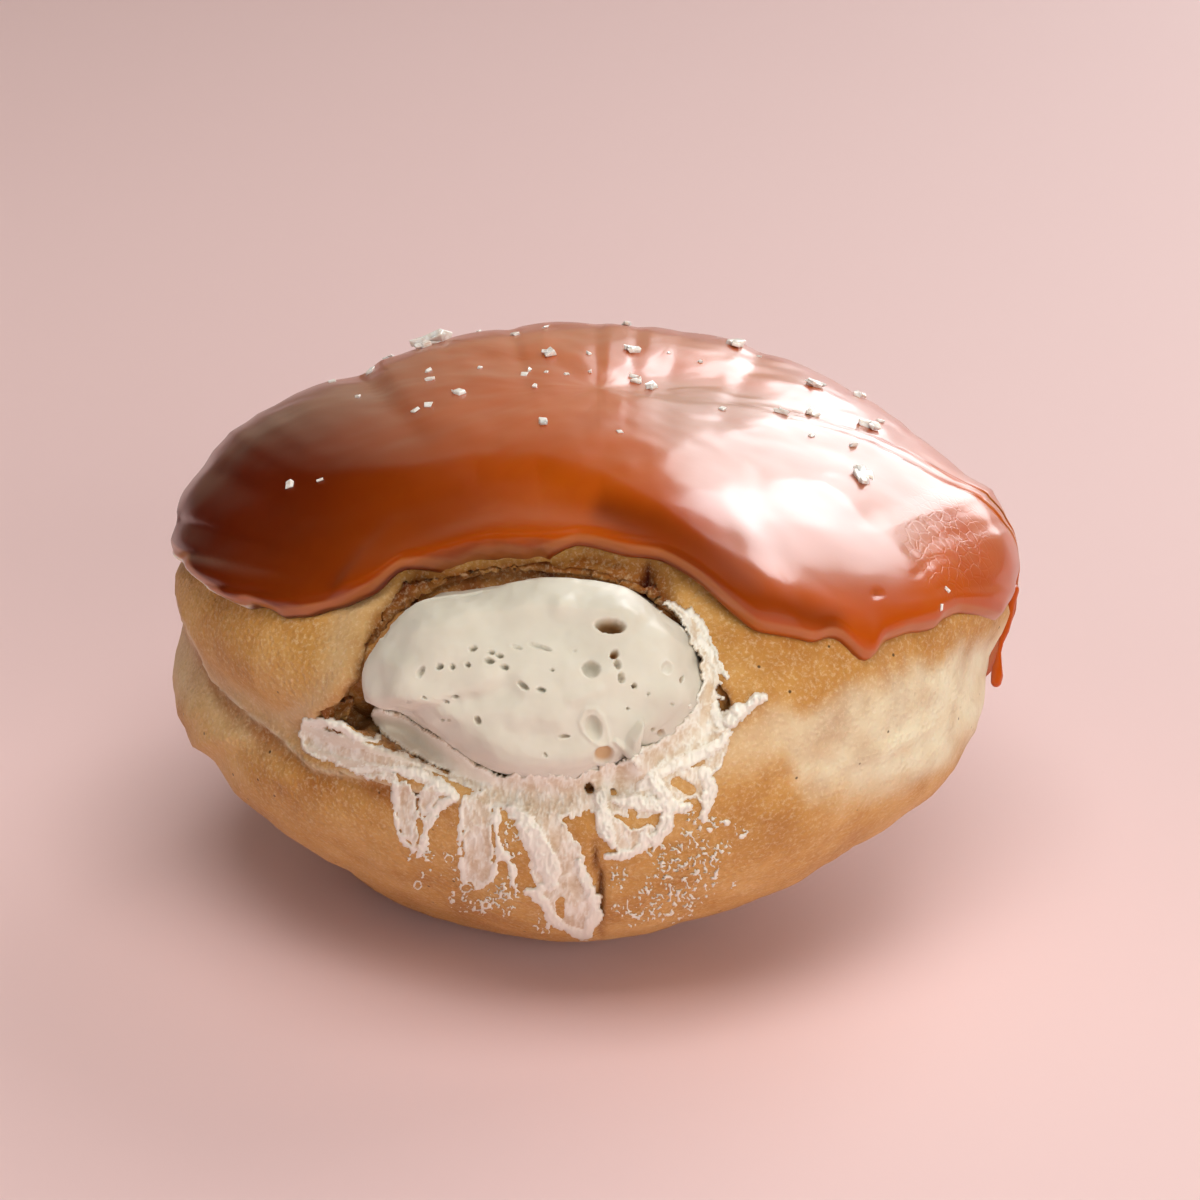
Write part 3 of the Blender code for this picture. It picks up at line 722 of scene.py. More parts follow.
def outerRadius(tree, azimuth, latitude):
    # distance from the core to the outside of a solid, in mm, or 0 where there is none
    d = direction(azimuth, latitude)
    hit = tree.ray_cast(core + d * seat["from"] * mm, -d)[0]
    found = hit is not None and (hit - core).dot(d) > seat["least"] * mm
    return (hit - core).length / mm if found else 0.0


seatAzimuths = np.arange(0.0, 360.0, seat["step"])
seatLatitudes = np.arange(-20.0, 90.01, seat["step"])
seatRadius = np.array([[outerRadius(doughTree, a, b) for a in seatAzimuths] for b in seatLatitudes])
# over the slit the icing passes straight across the drawn-in brow
browFrom, browTo = seat["browLatitudes"]
for row, b in enumerate(seatLatitudes):
    for column, a in enumerate(seatAzimuths):
        if abs(turnBetween(a, slitAzimuth)) < seat["browWidth"] and browFrom < b < browTo:
            brow = outerRadius(cadIcing, a, b) - seat["browDepth"]
            seatRadius[row, column] = max(seatRadius[row, column], brow)
reach = np.arange(-6, 7)
weights = hill(reach * seat["step"], seat["blur"])
weights /= weights.sum()
seatRadius = sum(w * np.roll(seatRadius, int(k), axis=1) for w, k in zip(weights, reach))
padded = np.pad(seatRadius, ((6, 6), (0, 0)), mode="edge")
seatRadius = sum(w * padded[6 + k:6 + k + len(seatRadius)] for w, k in zip(weights, reach))


def seatAt(azimuth, latitude):
    # the smoothed dough under the icing, in mm from the core
    a = (azimuth % 360.0) / seat["step"]
    b = np.clip((latitude - seatLatitudes[0]) / seat["step"], 0.0, len(seatLatitudes) - 1.001)
    a0, b0 = np.floor(a).astype(int), np.floor(b).astype(int)
    fa, fb = a - a0, b - b0
    a0, a1 = a0 % len(seatAzimuths), (a0 + 1) % len(seatAzimuths)
    low = seatRadius[b0, a0] * (1 - fa) + seatRadius[b0, a1] * fa
    high = seatRadius[b0 + 1, a0] * (1 - fa) + seatRadius[b0 + 1, a1] * fa
    return low * (1 - fb) + high * fb


def lowestIcing(azimuth):
    # how far down the icing's solid reaches here, in degrees
    for level in np.arange(*seat["searched"]):
        if outerRadius(cadIcing, azimuth, level) > seat["icingLeast"]:
            return level
    return seat["edgeUnfound"]


seen = anglesAt(doughTree, icingLook["edge"])
seenFrom, seenTo = seen[0][0], seen[-1][0]
unseen = [(a, min(lowestIcing(a + aside) for aside in seat["aside"]))
          for a in np.arange(-180.0, 180.0, 1.0) if not seenFrom - 2.0 < a < seenTo + 2.0]
edgeTurns = np.arange(-180.0, 180.0, 0.25)
edgeLevels = levelAt(edgeTurns, seen + unseen)
reach = np.arange(-8, 9)
weights = hill(reach * 0.25, 0.8)
edgeLevels = sum(w * np.roll(edgeLevels, int(k)) for w, k in zip(weights / weights.sum(), reach))

bm = bmesh.new()
bmesh.ops.create_uvsphere(bm, u_segments=icingLook["columns"], v_segments=icingLook["rings"], radius=1.0)
mesh = meshFrom(bm, "toffeeIcing")
ball = arraysOf(mesh)[0]
turns = np.degrees(np.arctan2(ball[:, 1], ball[:, 0]))
turns -= icingLook["frontGather"] * np.degrees(np.sin(np.radians(turns - icingLook["front"])))
# 0 at the outer pole, 1 at the inner
fold = np.degrees(np.arccos(np.clip(ball[:, 2], -1.0, 1.0))) / 180.0
edge = np.interp(turns, edgeTurns, edgeLevels, period=360.0)
rimTop = edge + icingLook["rimDrop"]
outerPart = np.clip(fold / icingLook["outerShare"], 0.0, 1.0)
rimSpan = icingLook["rimShare"] - icingLook["outerShare"]
rimPart = np.clip((fold - icingLook["outerShare"]) / rimSpan, 0.0, 1.0)
innerPart = np.clip((fold - icingLook["rimShare"]) / (1.0 - icingLook["rimShare"]), 0.0, 1.0)
bunched = (1.0 - icingLook["bunching"]) * outerPart + icingLook["bunching"] * (1.0 - (1.0 - outerPart) ** 2)
latitudes = 90.0 + (rimTop - 90.0) * bunched
bend = rimPart * math.pi / 2.0
latitudes += (edge - rimTop) * np.sin(bend)
latitudes += (90.0 - edge) * innerPart
towardsRim = smoothStep(icingLook["skirt"] * 2.2, 0.0, latitudes - edge)
rise = icingLook["gap"] + icingLook["thickness"] * (1.0 - 0.45 * towardsRim)
rise = np.where(rimPart > 0.0, rise * (np.cos(bend) ** 0.8) - 0.25 * rimPart, rise)
rise = np.where(innerPart > 0.0, -0.25 + (0.25 + icingLook["gap"]) * smoothStep(0.0, 0.15, innerPart), rise)
for place, width, swelling in icingLook["drips"]:
    onDrip = hill(turnBetween(turns, place), width) * hill(latitudes - edge - 1.5, 3.0)
    rise += np.where(innerPart > 0.0, 0.0, swelling * onDrip * np.cos(bend))
rays = np.stack([np.cos(np.radians(turns)) * np.cos(np.radians(latitudes)),
                 np.sin(np.radians(turns)) * np.cos(np.radians(latitudes)),
                 np.sin(np.radians(latitudes))], axis=1)
points = np.array(core) + rays * ((seatAt(turns, latitudes) + rise) * mm)[:, None]
icedSpan = (icedFrom - 5.0, icedFrom + 3.0, icedTo - 5.0, icedTo + 8.0)
points = fitted(points, doughLook["middle"], outline, icingLook["outlineReach"],
                lambda turn, moved: between(turn, icedSpan))
outer = (innerPart <= 0.0) * (1.0 - smoothStep(0.0, 0.7, rimPart))
lift = swellsAt(points, icingLook["waves"])
u, v = pixelsOf(points)
towardsViewer = facing(rays)
for wrinkle in icingLook["wrinkles"]:
    lift -= icingLook["wrinkleDepth"] * towardsViewer * smoothStep(-3.0, 1.5, strokeDepth(u, v, wrinkle))
lift -= 0.6 * towardsViewer * smoothStep(1.3, 0.6, ovalPlace(u, v, icingLook["pinhole"]))
shoulderU, shoulderV = zip(*icingLook["shoulder"])
rise, spanAbove, spanBelow = icingLook["shoulderRise"]
belowShoulder = v - np.interp(u, shoulderU, shoulderV)
span = np.where(belowShoulder > 0.0, spanBelow, spanAbove)
lift += rise * towardsViewer * hill(belowShoulder, span) * between(u, icingLook["shoulderAcross"])
points += rays * (lift * outer * mm)[:, None]
setPoints(mesh, points)
bm = bmesh.new()
bm.from_mesh(mesh)
bmesh.ops.recalc_face_normals(bm, faces=bm.faces)
bm.to_mesh(mesh)
bm.free()
mesh.update()
# painted shade: darker on the left, the side away from the lamps; also darker along the foot of the rim
darkness = 0.08 + 0.92 * hill(turnBetween(turns, -165.0), 50.0) * smoothStep(75.0, 35.0, latitudes)
darkness += 0.35 * smoothStep(icingLook["lip"] + 0.2, icingLook["lip"] - 0.2, latitudes - edge)
# painted shade below the shoulder on the right
darkness += 0.55 * towardsViewer * smoothStep(-18.0, 8.0, strokeDepth(u, v, icingLook["shadeBelowShoulder"]))
setShare(mesh, "deep", darkness)
overEdge = latitudes - edge
skirt, lip = icingLook["skirt"], icingLook["lip"]
# pale rim, partly thinness and partly a painted reflection
paleRim = smoothStep(skirt + 0.25, skirt - 0.25, overEdge) * smoothStep(lip - 0.2, lip + 0.2, overEdge)
setShare(mesh, "rim", np.where(innerPart > 0.0, 0.0, 0.75 * paleRim))
softness = icingLook["highlightSoftness"]
# painted highlight on the upper right
highlightShare = towardsViewer * smoothStep(-softness, softness, strokeDepth(u, v, icingLook["bloom"]))
setShare(mesh, "bloom", 0.35 * highlightShare * (innerPart <= 0.0))
# painted highlight along the foot of the rim on the far left
highlightedRim = towardsViewer * between(u, icingLook["highlightedRim"]) * smoothStep(lip + 0.25, lip - 0.05, overEdge)
setShare(mesh, "frost", np.where(innerPart > 0.0, 0.0, highlightedRim))
setShare(mesh, "crazed", towardsViewer * smoothStep(1.2, 0.6, ovalPlace(u, v, icingLook["crazing"])))
icingTree = treeOf(mesh)
addPiece("toffeeIcing", mesh, glaze, "toffee_icing", "toffee_icing")

# a thread of toffee that ran down the far right and set as a drop
dripLook = {
    "path": ((1013, 590, 0.7), (1010, 604, 0.6), (1008, 616, 0.6), (1005, 630, 0.5), (1001, 642, 0.32),
             (999, 652, 0.28), (998, 661, 0.42), (997, 669, 0.62),
             (997, 676, 0.68), (996, 683, 0.60)),   # u, v, radius in mm
    "steps": 6,
    "smoothRounds": 4,
    "voxel": 0.13,
}

print("drip")
doughPoints = np.array([vert.co for vert in bpy.data.objects["doughBun"].data.vertices])
doughU, doughV = pixelsOf(doughPoints)
topV, endV = dripLook["path"][0][1], dripLook["path"][-1][1]
ends = [doughPoints[int(np.argmin(np.hypot(doughU - a, doughV - b)))]
        for a, b, _ in (dripLook["path"][0], dripLook["path"][-1])]
topDepth, endDepth = [(Vector(end) - eye).dot(viewAlong) for end in ends]
bm = bmesh.new()
for (ua, va, ra), (ub, vb, rb) in zip(dripLook["path"][:-1], dripLook["path"][1:]):
    for k in range(dripLook["steps"]):
        share = k / dripLook["steps"]
        pixel = (ua + (ub - ua) * share, va + (vb - va) * share)
        depth = topDepth + (endDepth - topDepth) * (va + (vb - va) * share - topV) / (endV - topV)
        ray = rayThrough(*pixel)
        place = eye + ray * (depth / ray.dot(viewAlong))
        bmesh.ops.create_icosphere(bm, subdivisions=2, radius=(ra + (rb - ra) * share) * mm,
                                   matrix=Matrix.Translation(place))
mesh = meshFrom(bm, "toffeeDrip")
rough = placed("dripRough", mesh)
addPiece("toffeeDrip", evened(rough, dripLook["voxel"], dripLook["smoothRounds"]), glaze, "toffee_icing")

# salt: coarse crystals pressed into the icing while it was soft
saltLook = {
    "seen": ((435, 343, 4.2), (424, 347, 2.4), (735, 345, 2.6), (857, 392, 2.2), (865, 425, 2.6),
             (780, 413, 1.9), (860, 478, 2.8), (633, 352, 2.2), (543, 422, 1.5), (290, 485, 1.1),
             (320, 480, 0.9), (415, 411, 1.0), (430, 380, 1.2), (332, 378, 1.0), (515, 335, 1.2),
             (545, 328, 1.0), (620, 432, 0.9), (947, 590, 1.0), (941, 608, 0.9), (690, 611, 0.9),
             (700, 362, 0.9), (812, 436, 1.0), (590, 372, 0.8), (480, 368, 0.9)),
    "scattered": 26,
    "scatteredSizes": (0.9, 2.4),
    "scatteredAzimuths": (-15.0, 195.0),
    "scatteredLatitudes": (32.0, 80.0),
    "shards": (2, 4),
    "flatness": 0.42,
    "jitter": 0.22,
    "bevel": 0.06,
}

salt, tree, coords = newMaterial("seaSalt")
# coarse sea salt: cloudy white crystals, glassy on their flat faces
cloud = add(tree, "TexNoise", {"Scale": perMm(0.7), "Detail": 3.0}, {"Vector": coords})
white = add(tree, "ValToRGB", {"stops": [(0.3, "#eaded4"), (0.6, "#ffffff")]},
            {"Fac": cloud.outputs["Fac"]})
shader = add(tree, "BsdfPrincipled",
             {"Roughness": 0.22, "IOR": 1.54, "Subsurface Weight": 0.5,
              "Subsurface Radius": (1.0, 0.9, 0.8), "Subsurface Scale": 0.8 * mm},
             {"Base Color": white.outputs["Color"]})
add(tree, "OutputMaterial", {}, {"Surface": shader.outputs[0]})

print("salt")
dice = random.Random(5)
bm = bmesh.new()
places = []
for flakeU, flakeV, size in saltLook["seen"]:
    hits = [surfaceAt(icingTree, flakeU, flakeV + drop) for drop in (0.0, 4.0, 8.0, 12.0)]
    hits = [hit for hit in hits if hit[0] is not None]
    if hits:
        places.append((*hits[0], size))
for _ in range(saltLook["scattered"]):
    d = direction(dice.uniform(*saltLook["scatteredAzimuths"]),
                  dice.uniform(*saltLook["scatteredLatitudes"]))
    place, normal, _, _ = icingTree.ray_cast(core + d * 90.0 * mm, -d)
    if place is not None:
        places.append((place, normal, dice.uniform(*saltLook["scatteredSizes"]) * dice.uniform(0.6, 1.0)))
for place, normal, size in places:
    upright = normal.to_track_quat("Z", "Y").to_matrix().to_4x4()
    for shard in range(dice.randint(*saltLook["shards"]) if size > 1.4 else 1):
        length = size * mm * (0.72 if shard == 0 else dice.uniform(0.3, 0.5))
        shift = Vector((0.0, 0.0, 0.0))
        if shard > 0:
            shift = Vector((dice.uniform(-0.4, 0.4), dice.uniform(-0.4, 0.4), 0.1)) * size * mm
        turn = Matrix.Rotation(dice.uniform(0.0, math.tau), 4, "Z")
        turn = turn @ Matrix.Rotation(dice.uniform(-0.5, 0.5), 4, "X")
        made = bmesh.ops.create_cube(bm, size=1.0)["verts"]
        for vert in made:
            vert.co += Vector([dice.uniform(-1.0, 1.0) * saltLook["jitter"] for _ in range(3)])
        bmesh.ops.scale(bm, verts=made,
                        vec=(length, length * dice.uniform(0.55, 0.85), length * saltLook["flatness"]))
        edges = list({e for vert in made for e in vert.link_edges})
        bevelled = bmesh.ops.bevel(bm, geom=made + edges, offset=length * saltLook["bevel"], affect="EDGES",
                                   segments=1, profile=0.5, material=-1)
        whole = list({vert for face in bevelled["faces"] for vert in face.verts})
        lifted = Matrix.Translation(shift + Vector((0, 0, length * 0.12)))
        bmesh.ops.transform(bm, verts=whole, matrix=Matrix.Translation(place) @ upright @ lifted @ turn)
bmesh.ops.recalc_face_normals(bm, faces=bm.faces)
mesh = meshFrom(bm, "seaSalt")
flakes = addPiece("seaSalt", mesh, salt, "toffee_icing")
flakes.data.shade_flat()

# cream: whipped cream piped in, its face left soft, with burst bubbles and one drawn-out peak
creamLook = {
    "voxel": 0.42,
    "smoothRounds": 5,
    "frontCuts": 2,
    "outlineReach": (-33.0, -38.0),   # mm: from nothing to full along the depth
    "swells": ((6.0, 0.50, 31.0), (2.6, 0.24, 32.0), (1.0, 0.05, 33.0)),
    "fullness": 0.9,                  # mm: the face is blown out towards its rim
    "calming": 30,                    # rounds of smoothing before bubbles are pressed in
    "pitDeeper": 1.9,
    # burst bubbles: u, v, half width, half height, turn, depth in mm, amber share
    "bubbles": (
        (610, 627, 15.5, 6.8, 8, 1.6, 0.75), (614, 655, 4.2, 5.0, 30, 0.9, 0.8),
                (617, 665, 3.4, 5.4, -20, 0.5, 0.1),
        (591, 669, 9.5, 8.5, 25, 0.75, 0.0), (621, 678, 3.2, 5.6, -15, 0.5, 0.1),
                (634, 686, 2.7, 2.6, 0, 0.6, 0.3),
        (683, 679, 2.0, 4.0, 25, 0.7, 0.9), (662, 734, 4.0, 3.8, 0, 0.5, 0.6),
                (604, 755, 10.5, 9.0, 0, 0.35, 0.7),
        (440, 667, 4.2, 3.0, -25, 0.45, 0.0), (452, 667, 2.8, 3.0, 0, 0.4, 0.0),
                (468, 665, 3.0, 3.0, 0, 0.35, 0.0),
        (489, 661, 5.0, 3.2, 5, 0.5, 0.0), (504, 667, 4.6, 3.0, 15, 0.45, 0.0),
                (491, 652, 3.4, 2.2, 0, 0.4, 0.0),
        (499, 655, 4.4, 2.6, 10, 0.4, 0.0), (473, 649, 4.4, 2.6, -15, 0.45, 0.0),
                (421, 672, 3.2, 6.5, 30, 0.3, 0.0),
        (455, 698, 2.8, 2.2, 0, 0.45, 0.1), (446, 702, 2.2, 1.8, 0, 0.4, 0.1),
                (424, 698, 1.8, 1.8, 0, 0.3, 0.0),
        (408, 703, 1.6, 2.0, 0, 0.3, 0.0), (541, 690, 5.0, 2.6, 15, 0.5, 0.0),
                (523, 686, 7.0, 3.2, 35, 0.45, 0.0),
        (477, 721, 3.4, 5.0, -20, 0.4, 0.1), (564, 737, 6.0, 2.0, 0, 0.3, 0.2),
                (540, 646, 13.0, 2.4, 18, 0.28, 0.0),
        (516, 646, 6.5, 2.0, 20, 0.22, 0.0), (552, 670, 2.0, 1.8, 0, 0.3, 0.0),
                (667, 668, 6.0, 6.5, 0, 0.18, 0.0),
        (594, 728, 8.0, 13.0, -18, 0.5, 0.0), (653, 730, 2.2, 2.2, 0, 0.3, 0.3),
                (694, 712, 1.8, 1.8, 0, 0.3, 0.1),
        (387, 634, 1.6, 7.5, 28, 0.5, 0.5), (440, 723, 2.2, 1.5, 0, 0.3, 0.1),
                (446, 723, 2.2, 1.5, 0, 0.3, 0.1),
        (598, 768, 6.0, 1.2, 5, 0.22, 0.1), (545, 756, 1.2, 3.0, -20, 0.25, 0.1),
                (628, 709, 1.6, 1.6, 0, 0.25, 0.1),
        (672, 704, 1.8, 1.6, 0, 0.2, 0.0), (648, 694, 1.8, 1.6, 0, 0.2, 0.0),
                (575, 650, 1.5, 1.5, 0, 0.2, 0.0),
    ),
    # ridges and hollows: height in mm, softness in pixels, then points (u, v, radius)
    "ridges": (
        (0.22, 4.0, ((584, 712, 0.3), (580, 722, 0.3), (583, 732, 0.3), (592, 741, 0.4), (604, 748, 0.4))),
        (0.22, 4.0, ((586, 709, 0.3), (596, 709, 0.3), (603, 717, 0.3), (607, 728, 0.3), (610, 742, 0.4))),
        (1.3, 4.0, ((641, 724, 0.5), (634, 738, 3.5), (631, 750, 4.5), (634, 760, 2.0), (637, 768, 0.3))),
        (0.5, 4.0, ((616, 742, 0.6), (624, 748, 2.0), (631, 753, 3.0))),
        (-0.45, 14.0, ((478, 700, 4.0), (506, 690, 8.0))),
        (0.3, 16.0, ((520, 716, 4.0), (560, 722, 6.0))),
        (-0.3, 16.0, ((600, 690, 6.0), (640, 705, 8.0))),
        (0.4, 14.0, ((560, 606, 3.0), (640, 616, 5.0), (690, 652, 4.0))),
        (0.25, 9.0, ((596, 690, 3.0), (572, 700, 2.0))),
    ),
}

creamMaterial, tree, coords = newMaterial("whippedCream")
# whipped cream: ivory and soft, light goes a little way in, fine bubbles dull its sheen
clouds = add(tree, "TexNoise", {"Scale": perMm(7.0), "Detail": 3.0}, {"Vector": coords})
ivory = add(tree, "ValToRGB", {"stops": [(0.35, "#cec8bc"), (0.65, "#dbd6cb")]},
            {"Fac": clouds.outputs["Fac"]})
amberShare = add(tree, "Attribute", {"attribute_name": "amber"})
amberMix = add(tree, "Mix", {"data_type": "RGBA", 7: "#c08a3e"},
               {0: amberShare.outputs["Fac"], 6: ivory.outputs["Color"]})
bubbles = add(tree, "TexNoise", {"Scale": perMm(0.5), "Detail": 2.0}, {"Vector": coords})
bumps = add(tree, "Bump", {"Strength": 0.12, "Distance": 0.04 * mm}, {"Height": bubbles.outputs["Fac"]})
shader = add(tree, "BsdfPrincipled",
             {"Roughness": 0.42, "IOR": 1.45, "Specular IOR Level": 0.45, "Subsurface Weight": 0.35,
              "Subsurface Radius": (1.0, 0.8, 0.6), "Subsurface Scale": 1.2 * mm},
             {"Base Color": amberMix.outputs[2], "Normal": bumps.outputs["Normal"]})
add(tree, "OutputMaterial", {}, {"Surface": shader.outputs[0]})

print("cream filling")
mesh = fineCopy("cream_filling", creamLook["voxel"], creamLook["smoothRounds"])
bm = bmesh.new()
bm.from_mesh(mesh)
shown = [face for face in bm.faces if face.normal.dot(viewAlong) < -0.1
         and face.calc_center_median().y < -37.0 * mm]
bmesh.ops.subdivide_edges(bm, edges=list({edge for face in shown for edge in face.edges}),
                          cuts=creamLook["frontCuts"], smooth=0.6, use_grid_fill=True)
bm.to_mesh(mesh)
bm.free()
mesh.update()
points, normals = arraysOf(mesh)
sides = smoothStep(creamLook["outlineReach"][0] * mm, creamLook["outlineReach"][1] * mm, points[:, 1])
for _ in range(2):
    turn, spread = polarOf(*pixelsOf(points), creamOutline["middle"])
    reach = levelAt(turn, creamEdge)
    widest = levelAt(turn, widestAt(points[sides > 0.9], creamOutline["middle"]))
    grow = 1.0 + (reach / widest - 1.0) * sides * smoothStep(20.0, 90.0, spread)
    grow = np.where(spread * grow > reach, (reach - 0.5) / np.maximum(spread, 1.0), grow)
    points = stretched(points, creamOutline["middle"], grow)
share = np.minimum(spread * grow / reach, 1.0)
fuller = creamLook["fullness"] * sides * hill(share - 0.80, 0.16) * facing(normals)
points -= np.outer(fuller * mm, np.array(viewAlong))
setPoints(mesh, points)
bm = bmesh.new()
bm.from_mesh(mesh)
shown = [vert for vert in bm.verts if vert.co.y < -35.0 * mm]
for _ in range(creamLook["calming"]):
    bmesh.ops.smooth_vert(bm, verts=shown, factor=0.5, use_axis_x=True, use_axis_y=True, use_axis_z=True)
bm.to_mesh(mesh)
bm.free()
mesh.update()
points, normals = arraysOf(mesh)
u, v = pixelsOf(points)
front = facing(normals) * smoothStep(-28.0 * mm, -34.0 * mm, points[:, 1])
lift = front * swellsAt(points, creamLook["swells"])
amberAt = np.zeros(len(points))
for bubble in creamLook["bubbles"]:
    place = ovalPlace(u, v, bubble)
    lift -= creamLook["pitDeeper"] * front * bubble[5] * np.clip(1.0 - place ** 4, 0.0, 1.0)
    lift += front * 0.03 * hill(place - 1.2, 0.2)
    amberAt = np.maximum(amberAt, front * bubble[6] * smoothStep(1.0, 0.7, place))
for height, softness, ridge in creamLook["ridges"]:
    lift += front * height * smoothStep(-softness, softness * 0.4, strokeDepth(u, v, ridge))
points += normals * (lift * mm)[:, None]
setPoints(mesh, points)
setShare(mesh, "amber", amberAt)
creamTree = treeOf(mesh)
addPiece("whippedCream", mesh, creamMaterial, "whipped_cream", "cream_filling")

